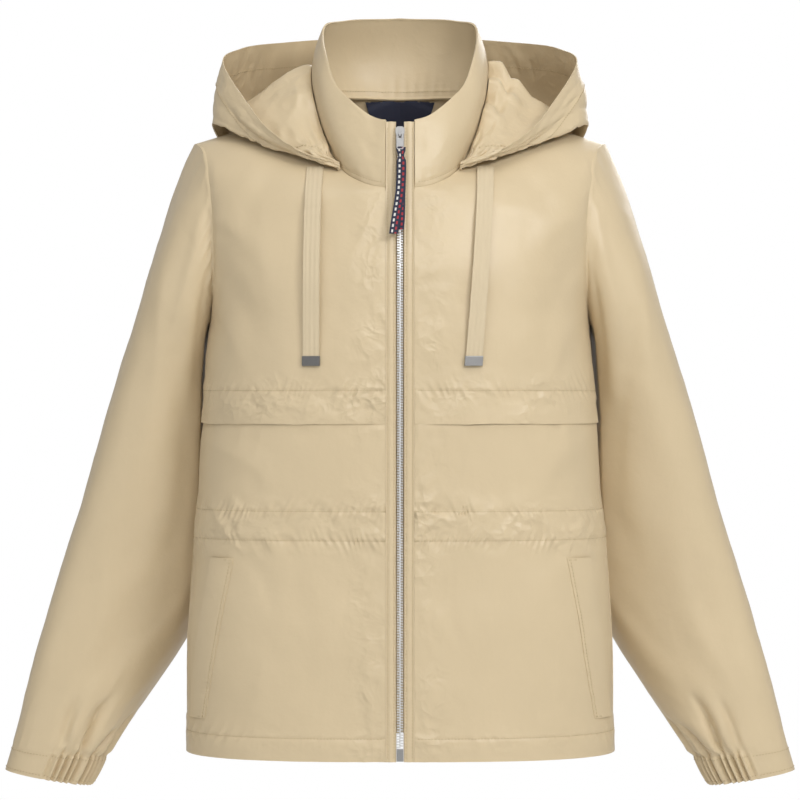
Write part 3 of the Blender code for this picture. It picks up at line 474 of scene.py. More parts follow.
def torso_row(panel, level, shares):
    """Points and outward normals of one torso row on the wearer's left."""
    step = 0.008
    low = max(level - step, 0.0)
    high = min(level + step, 2.0)
    curve = torso_curve(panel, level)
    points = along_curve(curve, shares)
    across = along_curve(curve, shares + step) - along_curve(curve, shares - step)
    up = along_curve(torso_curve(panel, high), shares) - along_curve(torso_curve(panel, low), shares)
    normals = unit(np.cross(across, up))
    return points, normals if panel == "front" else -normals


def level_of(z):
    """Torso level of a height under the arms."""
    return (z - HEM_Z) / (UNDERARM_Z - HEM_Z)


def share_of(panel, z, x):
    """Share along a level row where it reaches a width."""
    curve = torso_curve(panel, level_of(z))
    run = run_along(curve)
    return float(np.interp(x, curve[:, 0], run) / run[-1])


# Uneven fields, puckers and creases, as heights over a surface.

def wander(x, z, size, seed):
    """Smooth uneven field between -1 and 1, with features of one size."""
    u = np.asarray(x) / size + 37.31 * seed
    v = np.asarray(z) / size + 17.77 * seed
    iu = np.floor(u).astype(np.int64)
    iv = np.floor(v).astype(np.int64)
    fu = u - iu
    fv = v - iv
    fu = fu**3 * (fu * (6 * fu - 15) + 10)
    fv = fv**3 * (fv * (6 * fv - 15) + 10)

    def corner(a, b):
        n = (a * 374761393 + b * 668265263 + seed * 974634777) & 0xFFFFFFFF
        n = ((n ^ (n >> 13)) * 1274126177) & 0xFFFFFFFF
        return ((n ^ (n >> 16)) & 0xFFFF) / 32767.5 - 1

    low = corner(iu, iv) * (1 - fu) + corner(iu + 1, iv) * fu
    high = corner(iu, iv + 1) * (1 - fu) + corner(iu + 1, iv + 1) * fu
    return low * (1 - fv) + high * fv


def sway(run, size, seed):
    """Smooth uneven line between -1 and 1."""
    return wander(run, 0 * run, size, seed)


def puckers(run, off, period, height, reach, seed, slant=0.0):
    """Short uneven puckers that cross a stitched line and die out beside it."""
    level = 0 * off
    phase = (run + slant * off) / period + 1.7 * wander(run, level, 3.1 * period, seed)
    size = 0.55 + 0.55 * wander(run, level + 0.5 * off, 2.1 * period, seed + 1)
    span = reach * (1.0 + 0.6 * wander(run, level + 9.0 * np.sign(off), 1.4 * period, seed + 2))
    near = np.exp(-(np.abs(off) / span) ** 1.5)
    ridge = np.cos(2 * math.pi * phase)
    return height * size * near * (ridge + 0.35 * ridge * ridge - 0.2)


def stitched(run, off, period, height, reach, seed, slant=0.0, groove=0.00040):
    """Shallow groove of a stitched line with its puckers."""
    return puckers(run, off, period, height, reach, seed, slant) - groove * hill(off, 0.0011)


def creases(x, z, rows):
    """Height of crease lines, steeper on one side and dying out at their ends."""
    total = np.zeros(np.shape(x))
    for x0, z0, x1, z1, half, height in rows:
        length = math.hypot(x1 - x0, z1 - z0)
        t = ((x - x0) * (x1 - x0) + (z - z0) * (z1 - z0)) / length**2
        d = ((x - x0) * (z1 - z0) - (z - z0) * (x1 - x0)) / length
        d = d - 0.06 * length * np.sin(math.pi * np.clip(t, 0, 1))
        side = np.where(d > 0, half, 0.6 * half)
        total = total + height * hill(d, side) * np.exp(-np.abs((t - 0.5) / 0.46) ** 4)
    return total


def crease_rows(sizes, side=None):
    """Rows of a crease table, those of one side where it has sides."""
    names = [name for name in sizes if name != "side"]
    rows = np.stack([sizes[name] for name in names], axis=1)
    return rows if side is None else rows[sizes["side"] == side]


def heights(low, high, step, spots, fine, reach):
    """Levels from low to high, closer together near the spots, which are all among them."""
    made = [low]
    while made[-1] < high - 0.6 * fine:
        near = min(abs(made[-1] - spot) for spot in spots)
        wider = (step - fine) * min(1, (near - reach) / 0.02)
        made.append(made[-1] + (fine if near < reach else fine + wider))
    made[-1] = high
    made = [z for z in made if all(abs(z - spot) > 0.45 * fine or z in (low, high) for spot in spots)]
    return np.array(sorted(set(made) | {spot for spot in spots if low < spot < high}))


# Grids of points, and thin closed shells made from them.

def grid_normals(grid, closed):
    """Normals of a grid of rows, columns running round when closed."""
    if closed:
        across = np.roll(grid, -1, axis=1) - np.roll(grid, 1, axis=1)
    else:
        across = np.gradient(grid, axis=1)
    return unit(np.cross(across, np.gradient(grid, axis=0)))


def outward_normals(grid, closed, centre):
    """Normals of a grid that point away from a centre."""
    normals = grid_normals(grid, closed)
    return -normals if (normals * (grid - centre)).sum() < 0 else normals


def grid_faces(rows, columns, first, closed, turned):
    """Faces of a grid of points, as index rows."""
    wide = columns if closed else columns - 1
    r, c = np.meshgrid(np.arange(rows - 1), np.arange(wide), indexing="ij")
    n = (c + 1) % columns
    low = r * columns + first
    high = low + columns
    faces = np.stack([low + c, low + n, high + n, high + c], axis=-1).reshape(-1, 4)
    return faces[:, ::-1] if turned else faces


def mesh_object(name, points, faces, made, smooth=True):
    """A named object from points and faces."""
    mesh = bpy.data.meshes.new(name)
    mesh.from_pydata(np.asarray(points).tolist(), [], [list(map(int, face)) for face in faces])
    mesh.polygons.foreach_set("use_smooth", [smooth] * len(mesh.polygons))
    mesh.materials.append(made)
    mesh.update()
    if smooth:
        mesh.set_sharp_from_angle(angle=math.radians(55))
    placed = bpy.data.objects.new(name, mesh)
    scene.collection.objects.link(placed)
    return placed


def shell_parts(grid, outward, thick, closed=False, joined_rows=0, first=0):
    """Points and faces of a thin closed shell whose outer face is a grid; its first column may stay open."""
    rows, columns = grid.shape[:2]
    normals = grid_normals(grid, closed)
    turned = (normals * outward).sum() < 0
    normals = -normals if turned else normals
    if joined_rows:
        normals[:joined_rows, 0, 0] = 0.0
    points = np.concatenate([grid.reshape(-1, 3), (grid - normals * thick).reshape(-1, 3)])
    count = rows * columns
    faces = [grid_faces(rows, columns, first, closed, turned),
             grid_faces(rows, columns, first + count, closed, not turned)]
    edges = [np.arange(columns), (rows - 1) * columns + np.arange(columns)[::-1]]
    if closed:
        edges = [np.append(edges[0], edges[0][0]), np.append(edges[1], edges[1][0])]
    else:
        low = max(joined_rows - 1, 0)
        edges.append((np.arange(low, rows) * columns)[::-1])
        edges.append(np.arange(rows) * columns + columns - 1)
    for edge in edges:
        rim = np.stack([edge[1:], edge[:-1], edge[:-1] + count, edge[1:] + count], axis=-1) + first
        faces.append(rim[:, ::-1] if turned else rim)
    return points, np.concatenate(faces)


def shell(name, grid, outward, thick, made, closed=False):
    """A thin closed shell object from a grid of outer points."""
    points, faces = shell_parts(grid, outward, thick, closed)
    return mesh_object(name, points, faces, made)


def tree_of(grids, closed=False):
    """Surface for clearances, from grids of points."""
    points = []
    faces = []
    for grid in grids:
        rows, columns = grid.shape[:2]
        faces += grid_faces(rows, columns, len(points), closed, False).tolist()
        points += [Vector(p) for p in grid.reshape(-1, 3)]
    return BVHTree.FromPolygons(points, faces)


def keep_clear(point, tree, gap, outward):
    """A point moved out of a surface until it clears it."""
    near, _, _, _ = tree.find_nearest(Vector(point))
    away = point - np.array(near)
    facing = outward(np.array(near))
    depth = float(np.dot(away, facing))
    if depth >= gap:
        return point
    return point + facing * (gap - depth)


# Materials.

def linear(*rgb):
    """Screen colour from 0 to 255 as linear light."""
    c = np.array(rgb) / 255.0
    return tuple(np.where(c <= 0.04045, c / 12.92, ((c + 0.055) / 1.055) ** 2.4))


def nodes_of(name):
    """A new material with its tree and shader."""
    made = bpy.data.materials.new(name)
    made.use_nodes = True
    return made, made.node_tree, made.node_tree.nodes["Principled BSDF"]


def fill(tree, node, **values):
    """Settings of a node; in_ keys are its inputs, each given as a value or as another node's output."""
    for key, value in values.items():
        if not key.startswith("in_"):
            setattr(node, key, value)
            continue
        name = key[3:]
        socket = node.inputs[int(name) if name.isdigit() else name.replace("_", " ")]
        if isinstance(value, bpy.types.NodeSocket):
            tree.links.new(value, socket)
        else:
            socket.default_value = value


def add(tree, kind, out=0, **values):
    """One output of a new node with its settings."""
    made = tree.nodes.new(kind)
    fill(tree, made, **values)
    return made.outputs[out]


def place(tree, kind="Object"):
    """Coordinates of a piece in metres."""
    return add(tree, "ShaderNodeTexCoord", kind)


def noise(tree, where, scale, detail, out="Fac", **values):
    """Uneven field at a place."""
    return add(tree, "ShaderNodeTexNoise", out, in_Vector=where, in_Scale=scale, in_Detail=detail, **values)


def maths(tree, operation, *terms):
    """Result of a sum on outputs and numbers."""
    inputs = {"in_%d" % k: term for k, term in enumerate(terms)}
    return add(tree, "ShaderNodeMath", operation=operation, **inputs)


def ranged(tree, value, low, high, **values):
    """A value from 0 to 1 brought to another range."""
    return add(tree, "ShaderNodeMapRange", in_Value=value, in_3=low, in_4=high, **values)


def mixed(tree, factor, first, second, **values):
    """Two colours mixed by a factor."""
    first, second = ((*c, 1) if isinstance(c, tuple) else c for c in (first, second))
    return add(tree, "ShaderNodeMix", 2, data_type="RGBA", in_0=factor, in_6=first, in_7=second, **values)


def bumped(tree, height, strength, distance, **values):
    """Direction of a surface with a relief."""
    return add(tree, "ShaderNodeBump", in_Height=height, in_Strength=strength, in_Distance=distance, **values)


def bell(tree, socket, centre, half):
    """Value that is 1 at a centre and falls smoothly to 0 at a distance from it."""
    away = maths(tree, "ABSOLUTE", maths(tree, "SUBTRACT", socket, centre))
    return ranged(tree, away, 1.0, 0.0, interpolation_type="SMOOTHSTEP", in_1=0.0, in_2=half)


def crumple(tree, where, spots, base):
    """Height of crisp little folds, strongest at spots given as axis, centre, half width and amount."""
    shifted = add(tree, "ShaderNodeVectorMath", operation="MULTIPLY_ADD",
                  in_0=noise(tree, where, 34.0, 2.0, "Color"), in_1=(0.030, 0.030, 0.030), in_2=where)
    total = 0.0
    for scale, share in ((62.0, 0.62), (128.0, 0.30)):
        cells = add(tree, "ShaderNodeTexVoronoi", "Distance", in_Scale=scale, in_Vector=shifted)
        total = maths(tree, "MULTIPLY_ADD", cells, share, total)
    split = add(tree, "ShaderNodeSeparateXYZ", in_0=where).node
    axes = {"x": maths(tree, "ABSOLUTE", split.outputs["X"]), "z": split.outputs["Z"]}
    amount = base
    for axis, centre, half, weight in spots:
        amount = maths(tree, "MULTIPLY_ADD", bell(tree, axes[axis], centre, half), weight, amount)
    sparse = ranged(tree, noise(tree, where, 22.0, 1.0), 0.15, 1.0, in_1=0.36, in_2=0.66)
    return maths(tree, "MULTIPLY", maths(tree, "MULTIPLY", total, amount), sparse)


def shades(colour, spread):
    """A darker and a lighter tone of a colour."""
    return tuple(c * (1 - spread) for c in colour), tuple(min(1.0, c * (1 + spread)) for c in colour)


def woven(name, colour, roughness, sheen, threads, relief, spread=0.06, rumple=0.30, spots=(), base=0.0):
    """Woven cloth: uneven dye, crossing threads, fine crinkle, crisp folds at spots and a soft sheen."""
    made, tree, shader = nodes_of(name)
    where = place(tree)
    cloud = noise(tree, where, 14.0, 4.0)
    slub = noise(tree, add(tree, "ShaderNodeMapping", in_Scale=(1.0, 1.0, 0.15), in_Vector=where), 260.0, 2.0)
    dye = mixed(tree, cloud, *shades(colour, spread))
    thread = mixed(tree, slub, *shades(colour, 0.03))
    warp, weft = (add(tree, "ShaderNodeTexWave", "Fac", bands_direction=way, in_Scale=threads,
                      in_Distortion=0.6, in_Vector=where) for way in "XZ")
    facing = bumped(tree, maths(tree, "MULTIPLY", warp, weft), relief, 0.0002)
    crush = noise(tree, where, 70.0, 4.0, in_Roughness=0.6)
    facing = bumped(tree, crush, rumple, 0.0012, in_Normal=facing)
    if spots or base:
        facing = bumped(tree, crumple(tree, where, spots, base), 1.0, 0.0034, in_Normal=facing)
    fill(tree, shader, in_Base_Color=mixed(tree, 0.35, dye, thread), in_Normal=facing,
         in_Roughness=ranged(tree, cloud, roughness - 0.05, roughness + 0.05),
         in_Sheen_Weight=sheen, in_Sheen_Roughness=0.45, in_Specular_IOR_Level=0.42)
    return made


def metal(name, colour, roughness):
    """Plated metal with fine brushing and an uneven tone."""
    made, tree, shader = nodes_of(name)
    where = place(tree)
    grain = noise(tree, where, 900.0, 3.0)
    tone = mixed(tree, noise(tree, where, 120.0, 2.0), tuple(c * 0.82 for c in colour), colour)
    fill(tree, shader, in_Base_Color=tone, in_Normal=bumped(tree, grain, 0.15, 0.0001), in_Metallic=1.0,
         in_Roughness=ranged(tree, grain, roughness - 0.08, roughness + 0.12))
    return made


def dashed(name, ground, *colours):
    """Woven ribbon: a ribbed ground with short dashes of two colours that alternate along two lines."""
    made, tree, shader = nodes_of(name)
    split = add(tree, "ShaderNodeSeparateXYZ", in_0=place(tree, "UV")).node
    tone = ground
    for centre, shift, colour in zip((0.30, 0.70), (0.0, 0.5), colours):
        run = maths(tree, "FRACT", maths(tree, "ADD", split.outputs["Y"], shift))
        dash = maths(tree, "MULTIPLY", maths(tree, "COMPARE", split.outputs["X"], centre, 0.10),
                     maths(tree, "COMPARE", run, 0.5, 0.27))
        tone = mixed(tree, dash, tone, colour)
    where = place(tree)
    cloud = noise(tree, where, 700.0, 2.0)
    rib = add(tree, "ShaderNodeTexWave", "Fac", bands_direction="Z", in_Scale=420.0, in_Vector=where)
    fill(tree, shader, in_Base_Color=mixed(tree, 0.35, tone, cloud, blend_type="MULTIPLY"),
         in_Normal=bumped(tree, rib, 0.5, 0.0002), in_Roughness=ranged(tree, cloud, 0.55, 0.8))
    return made


WAIST_AND_HEM = (("z", -0.411, 0.036, 0.70), ("z", -0.619, 0.018, 0.45))
ZIP_AND_FLAP = (("x", 0.026, 0.034, 0.75), ("z", -0.289, 0.034, 1.00))


def sand(name, roughness=0.38, **folds):
    """The jacket's own cloth."""
    return woven(name, linear(204, 185, 151), roughness, 0.05, 900.0, 0.05, **folds)


taffeta = sand("sand taffeta", base=0.05)
front_taffeta = sand("sand front taffeta", spots=ZIP_AND_FLAP + WAIST_AND_HEM, base=0.02)
back_taffeta = sand("sand back taffeta", spots=WAIST_AND_HEM, base=0.04)
collar_taffeta = sand("sand collar taffeta", 0.40, base=0.12)
hood_taffeta = sand("sand hood taffeta", base=0.42)
tape_cloth = woven("zip tape cloth", linear(188, 165, 125), 0.75, 0.1, 600.0, 0.4)
cord_cloth = woven("woven tape", linear(204, 187, 156), 0.72, 0.1, 330.0, 0.5, 0.05, 0.1)
thread_made = woven("sewing thread", linear(184, 165, 130), 0.6, 0.1, 1500.0, 0.3)
label_cloth = woven("label cloth", linear(38, 42, 62), 0.65, 0.2, 420.0, 0.5, 0.12, 0.1)
ribbon_cloth = dashed("navy ribbon", linear(26, 30, 56), linear(228, 224, 218), linear(170, 34, 44))
bright_metal = metal("bright metal", (0.88, 0.875, 0.865), 0.48)
steel = metal("bright steel", (0.40, 0.395, 0.39), 0.42)
grey_metal = metal("grey metal", (0.25, 0.245, 0.24), 0.36)


# Fronts and back.

def panel_base(panel, levels, columns):
    """Points, normals, distances from both ends and levels of a left panel; a front ends in a turning."""
    rows = []
    for level in levels:
        length = curve_length(torso_curve(panel, level))
        trim = SEAM_TRIM / length
        shares = np.linspace(trim if panel == "front" else 0.0, 1 - trim, columns)
        points, normals = torso_row(panel, level, shares)
        run = shares * length
        if panel == "front":
            beyond, facing = points[-1:], normals[-1:]
            if level <= 1:
                share = 1 - TURNING / curve_length(torso_curve("back", level))
                beyond, facing = torso_row("back", level, np.array([share]))
            points = np.concatenate([points, beyond - facing * TURNING_DEPTH])
            normals = np.concatenate([normals, facing])
            run = np.append(run, run[-1])
        rows.append((points, normals, run, np.maximum(length - run, 0), np.full(len(run), level)))
    return [np.array(part) for part in zip(*rows)]


def crinkle(x, z, size, seed):
    """Crisp little folds between about -1 and 1, with straight ridges of one size."""
    first = 1 - 2.2 * np.abs(wander(x + 0.45 * z, 0.8 * z - 0.2 * x, size, seed))
    second = 1 - 2.2 * np.abs(wander(0.8 * x - 0.6 * z, z + 0.3 * x, 0.6 * size, seed + 1))
    return 0.62 * first + 0.38 * second


def soft(x, z, seed, amount):
    """Broad soft unevenness of hanging cloth, and a finer one on it."""
    broad = 0.70 * wander(x, z, 0.085, seed) + 0.30 * wander(x, z, 0.036, seed + 3)
    return amount * broad + 0.10 * amount * wander(x, z, 0.013, seed + 5)


def crushed(x, z, run, rest, size, seed):
    """Patchy crisp folds of a front, none at its zip edge and its side."""
    patch = 0.6 + 0.4 * wander(x, z, 0.06, seed + 23)
    return patch * crinkle(x, z, size, seed + 24) * ease(run / 0.003) * ease(rest / 0.006)


def waist_band(run, z, seed):
    """Gathered casing between two stitched lines, crumpled between them."""
    middle = (WAIST_TOP_Z + WAIST_LOW_Z) / 2
    half = (WAIST_TOP_Z - WAIST_LOW_Z) / 2
    inside = np.clip(1 - ((z - middle) / half) ** 2, 0, 1)
    near = ease(1.6 - np.abs(z - middle) / (1.6 * half))
    made = 0.0004 * np.sqrt(inside)
    made = made + stitched(run, z - WAIST_TOP_Z, 0.0078, 0.00095, 0.0070, seed, 0.55)
    made = made + stitched(run, z - WAIST_LOW_Z, 0.0072, 0.00100, 0.0070, seed + 4, -0.45)
    crush = wander(run + 0.5 * z, 0.55 * z, 0.0095, seed + 8)
    crush = crush + 0.9 * wander(run - 0.8 * z, 0.45 * z, 0.015, seed + 9)
    return made + 0.00055 * near * crush


def hem_band(run, z, seed):
    """Turned-up hem with its stitched line."""
    turned_up = 0.0002 * ease((HEM_STITCH_Z - z) / 0.003)
    return turned_up + stitched(run, z - HEM_STITCH_Z, 0.0150, 0.00050, 0.007, seed, 0.7)


def under_welt(points):
    """Share of a lower front that lies under the pocket welt."""
    z = points[..., 2]
    (low, top), (low_x, top_x) = POCKET["z"], POCKET["inner_x"]
    inner = top_x + (z - top) * (top_x - low_x) / (top - low)
    beside = ease((points[..., 0] - inner) / 0.0025 + 0.3)
    return beside * ease((z - low) / 0.003 + 0.5) * ease((top - z) / 0.003 + 0.5)


def near_waist(z):
    """Share of a row that lies in the waist casing or just beside it."""
    return hill((np.abs(z - WAIST_TOP_Z + 0.014) - 0.014).clip(0), 0.014)


def lower_height(side, points, run, rest, seed):
    """Height of a lower front over its plain surface."""
    x = points[..., 0]
    z = points[..., 2]
    free = ease(rest / 0.014) * ease((LOWER_FRONT_TOP_Z + 0.002 - z) / 0.045)
    made = soft(x, z, seed, 0.0020) + creases(x, z, crease_rows(LOWER_CREASES, side))
    made = made * free * ease((run + 0.004) / 0.03)
    made = made + puckers(z, run, 0.013, 0.00060, 0.009, seed + 21) * ease(run / 0.004)
    beside_zip = hill(run - 0.010, 0.022) * ease(run / 0.004)
    beside_flap = hill(FLAP_EDGE_Z - z, 0.022) * ease((FLAP_EDGE_Z - z) / 0.004)
    beside_hem = hill(z - HEM_STITCH_Z, 0.014)
    amount = 0.00022 + 0.00125 * beside_zip + 0.00100 * beside_flap
    amount = amount + 0.00095 * near_waist(z) + 0.00050 * beside_hem
    made = made + amount * crushed(x, z, run, rest, 0.020, seed)
    made = made - 0.0014 * ease((z - FLAP_EDGE_Z + 0.004) / 0.016)
    return made + waist_band(run, z, seed + 30) + hem_band(run, z, seed + 40)


def seam_fall(rest, z, seed):
    """Soft fall towards the armhole seam, with a few slack folds across it."""
    fall = -0.0012 * hill(rest, 0.007)
    return fall + puckers(z, rest, 0.026, 0.0006, 0.018, seed)


def yoke_height(side, points, run, rest, seed):
    """Height of an upper front over its plain surface, with its loose flap below the stitched line."""
    x = points[..., 0]
    z = points[..., 2]
    flap = ease((FLAP_STITCH_Z - z) / 0.030)
    loose = ease((FLAP_STITCH_Z - z) / 0.032)
    made = soft(x, z, seed, 0.0024) + creases(x, z, crease_rows(YOKE_CREASES, side))
    made = made * ease(rest / 0.012) * ease((run + 0.004) / 0.03) * (1 - 0.8 * flap)
    made = made + stitched(run, z - FLAP_STITCH_Z, 0.0100, 0.00095, 0.0095, seed + 2, 0.6)
    made = made + puckers(z, run, 0.013, 0.00060, 0.009, seed + 21) * ease(run / 0.004) * (z < -0.09)
    beside_zip = hill(run - 0.010, 0.024) * ease(run / 0.004)
    beside_stitch = hill(z - FLAP_STITCH_Z + 0.010, 0.018)
    beside_arm = hill(rest, 0.030)
    amount = 0.00018 + 0.00100 * beside_zip + 0.00120 * beside_stitch + 0.00060 * beside_arm
    made = made + amount * crushed(x, z, run, rest, 0.022, seed)
    made = made + np.where(z > UNDERARM_Z, seam_fall(rest, z, seed + 6) * ease((z - UNDERARM_Z) / 0.02), 0)
    wave = 0.0007 * sway(run, 0.045, seed + 7) + 0.0005 * sway(run, 0.016, seed + 8)
    return made + 0.0010 * flap + np.maximum(wave, -0.0006) * loose


thread_lines = []
cloth_pieces = []


def keep_line(line, outward, inset=0.003):
    """A polyline on a piece for a line of stitches."""
    thread_lines.append((np.asarray(line), np.asarray(outward), inset))


def keep_rows(grid, outward, rows, spots, inset=0.003):
    """Lines of stitches along the rows of a piece that lie at some of its heights."""
    for spot in spots:
        row = int(np.argmin(np.abs(rows - spot)))
        keep_line(grid[row], outward[row], inset)


def cloth(stem, label, grid, outward, thick, made, *cut, closed=False):
    """A piece with its cut: flat size, area where it isn't their product, how it is held and by what; the cut
    is not used.
    """
    piece = shell(stem + "_cloth" + label, grid, outward, thick, made, closed)
    cloth_pieces.append((piece, stem + label, *cut))


def soften(points, level, rest):
    """Rows of a panel with the bend at the underarm level rounded off, its seam kept."""
    share = hill(level - 1, 0.10) * ease(rest / 0.020)
    for _ in range(40):
        mean = points.copy()
        mean[1:-1] = (points[:-2] + 2 * points[1:-1] + points[2:]) / 4
        points = points + (mean - points) * share[..., None]
    return points


LOWER_ROWS = heights(HEM_Z, LOWER_FRONT_TOP_Z, 0.0048, LOWER_STITCHES, 0.0014, 0.009)
YOKE_ROWS = heights(FLAP_EDGE_Z, UNDERARM_Z - 0.002, 0.0042, (FLAP_STITCH_Z,), 0.0014, 0.010)
upper_levels = np.append(np.linspace(1.0, 1.98, 66), TOP_LEVEL)
lower_base = panel_base("front", level_of(LOWER_ROWS), LOWER_COLUMNS)
yoke_base = panel_base("front", np.append(level_of(YOKE_ROWS), upper_levels), YOKE_COLUMNS)
yoke_base[0] = soften(yoke_base[0], yoke_base[4], yoke_base[3])
shoulder_turning, turning_out = torso_row("back", 1.98, np.append(np.linspace(0, 1, YOKE_COLUMNS), 1.0))
shoulder_turning = shoulder_turning - turning_out * TURNING_DEPTH
lower_grids = {}
for side, label, flip in SIDES:
    points, normals, run, rest, _ = lower_base
    lift = lower_height(side, points, run, rest, LOWER_SEED + side) - 0.0010 * under_welt(points)
    grid = lower_grids[side] = (points + normals * lift[..., None]) * flip
    cloth("front_lower", label, grid, normals * flip, FINE_CLOTH, front_taffeta,
          (0.290, 0.372), None, "hung", "front_yoke" + label)
    keep_rows(grid, normals * flip, LOWER_ROWS, LOWER_STITCHES)
    points, normals, run, rest, level = yoke_base
    lift = yoke_height(side, points, run, rest, YOKE_SEED + side) * ease((2 - level) / 0.12)
    grid = (points + normals * lift[..., None]) * flip
    dip = sway(run, 0.034, YOKE_SEED + 10 + side) + 0.5 * sway(run, 0.013, YOKE_SEED + 20 + side)
    grid[..., 2] += 0.0007 * dip * ease((FLAP_STITCH_Z - points[..., 2]) / 0.032)
    grid = np.concatenate([grid, shoulder_turning[None] * flip])
    normals = np.concatenate([normals, normals[-1:]]) * flip
    cloth("front_yoke", label, grid, normals, FINE_CLOTH, front_taffeta,
          (0.270, 0.330), 0.071, "hung", "collar")
    keep_rows(grid, normals, YOKE_ROWS, (FLAP_STITCH_Z,))

BACK_ROWS = heights(HEM_Z, UNDERARM_Z - 0.002, 0.0055, LOWER_STITCHES, 0.0016, 0.008)
neck_level = 1 + BACK_NECK_SHARE
back_levels = np.append(level_of(BACK_ROWS), np.linspace(1.0, neck_level, 40))
joined_rows = len(back_levels)
back_levels = np.append(back_levels, np.linspace(neck_level, TOP_LEVEL, 14)[1:])
points, normals, run, rest, level = panel_base("back", back_levels, BACK_COLUMNS)


def back_height(side, points, rest, level):
    """Height of one half of the back over its plain surface."""
    x = points[..., 0] * side
    z = points[..., 2]
    made = soft(x, z, BACK_SEED, 0.0022) + creases(x, z, crease_rows(BACK_CREASES))
    made = made * ease(rest / 0.014) * ease((0.012 - z) / 0.05) * ease((2 - level) / 0.12)
    crush = (0.0003 + 0.0006 * near_waist(z)) * crinkle(x, z, 0.022, BACK_SEED + 16)
    made = made + crush * ease(rest / 0.006) * ease((2 - level) / 0.05)
    made = made + waist_band(x, z, BACK_SEED + 10) + hem_band(x, z, BACK_SEED + 20)
    fall = seam_fall(rest, z, BACK_SEED + 30 + side)
    fall = fall * ease((z - UNDERARM_Z) / 0.02) * ease((2 - level) / 0.12)
    return made + np.where(z > UNDERARM_Z, fall, 0)


back_parts = []
back_count = 0
normals[:joined_rows, 0, 0] = 0.0
for side, _, flip in SIDES:
    back_grid = (points + normals * back_height(side, points, rest, level)[..., None]) * flip
    made = shell_parts(back_grid, normals * flip, FINE_CLOTH, False, joined_rows, back_count)
    back_parts.append(made)
    back_count += len(made[0])
    keep_rows(back_grid, normals * flip, BACK_ROWS, LOWER_STITCHES, 0.001)
back = mesh_object("back_cloth", np.concatenate([p for p, _ in back_parts]),
                   np.concatenate([f for _, f in back_parts]), back_taffeta)
sewn = bmesh.new()
sewn.from_mesh(back.data)
bmesh.ops.remove_doubles(sewn, verts=[v for v in sewn.verts if abs(v.co.x) < 1e-7], dist=5e-5)
sewn.to_mesh(back.data)
sewn.free()
cloth_pieces.append((back, "back", (0.520, 0.680), 0.318, "hung", "collar"))


# Sleeves and cuffs.

def torso_grids(side):
    """Plain torso surface of one side, for clearances."""
    shares = np.linspace(0, 1, 31)
    flip = np.array([side, 1, 1])
    levels = np.linspace(0, 2, 81)
    return [np.array([torso_row(panel, v, shares)[0] * flip for v in levels]) for panel in ("front", "back")]


def torso_outward(point):
    """Direction out of the body at a point of its surface."""
    return unit(point * np.array([1, 1, 0]))


def ring(sizes, along, around):
    """Points of one sleeve section: 0 at the inner line, then the front, the outer line and the back."""
    outer_line = np.array([read(sizes, "outer_" + c, along) for c in "xyz"])
    inner_line = np.array([read(sizes, "inner_" + c, along) for c in "xyz"])
    centre = (outer_line + inner_line) / 2
    reach = (outer_line - inner_line) / 2
    depth = np.array([0, -read(sizes, "depth", along), 0])
    a = 2 * math.pi * np.asarray(around)[:, None]
    flat = 1.0
    if sizes is SLEEVE:
        flat = 1 + 0.065 * np.sin(2 * a) ** 2 * ease(along / 0.25) * ease((1 - along) / 0.12)
    return centre - (reach * np.cos(a) - depth * np.sin(a)) * flat


def armhole_ring(around):
    """Armhole seam at shares round the sleeve."""
    return np.array([armhole("front", 2 * u) if u <= 0.5 else armhole("back", 2 - 2 * u) for u in around])


def cuff_folds(along, around):
    """Height of the folds that run up the sleeve from the gathered cuff."""
    raised = np.zeros(len(around))
    for middle, reach, half, height in crease_rows(CUFF_FOLDS):
        offset = (around - middle + 0.5) % 1.0 - 0.5
        raised += height * hill(offset, half) * ease(1 - (1 - along) / (reach * 1.6))
    return raised * ease((1 - along) / CUFF_PINCH)


SLEEVE_LENGTH = 0.66
SLEEVE_ROUND = 0.40
SLEEVE_SCALE = np.array([SLEEVE_LENGTH, SLEEVE_ROUND, SLEEVE_LENGTH, SLEEVE_ROUND, 1, 1])
GATHER_START = 0.73
GATHER_END = 1.27
PLAIN_START = GATHER_END - 1
sleeve_along = np.concatenate([[0.0, 0.0009], np.linspace(0.006, 0.90, 94), np.linspace(0.905, 1.0, 30)])
gathered = np.linspace(GATHER_START, GATHER_END, 101)[:-1]
around = np.concatenate([gathered, np.linspace(PLAIN_START, GATHER_START, 53)[:-1]]) % 1.0
torso_tree = tree_of(torso_grids(1))
extra = armhole_ring(around) - ring(SLEEVE, 0.0, around)
sleeve_skin = []
for along in sleeve_along:
    row = ring(SLEEVE, along, around) + extra * (1 - ease(along / 0.3))
    gap = SEAM_STAND + SLEEVE_CLEAR * float(ease(along / 0.16))
    for k, point in enumerate(row):
        if point[2] < UNDERARM_Z:
            row[k] = keep_clear(point, torso_tree, gap, torso_outward)
    sleeve_skin.append(row)
sleeve_skin = np.array(sleeve_skin)
for k, u in enumerate(around):
    panel = "front" if u <= 0.5 else "back"
    seam_level = 1 + (2 * u if u <= 0.5 else 2 - 2 * u)
    share = 1 - TURNING / curve_length(torso_curve(panel, seam_level))
    spot, facing = torso_row(panel, seam_level, np.array([share]))
    sleeve_skin[0, k] = spot[0] - facing[0] * TURNING_DEPTH
sleeve_out = outward_normals(sleeve_skin, True, sleeve_skin.mean(axis=1, keepdims=True))
sleeve_folds = np.array([cuff_folds(v, around) for v in sleeve_along])
facing_body = hill((around + 0.5) % 1.0 - 0.5, 0.10)[None, :]
facing_body = facing_body * ease((0.80 - sleeve_along) / 0.1)[:, None]


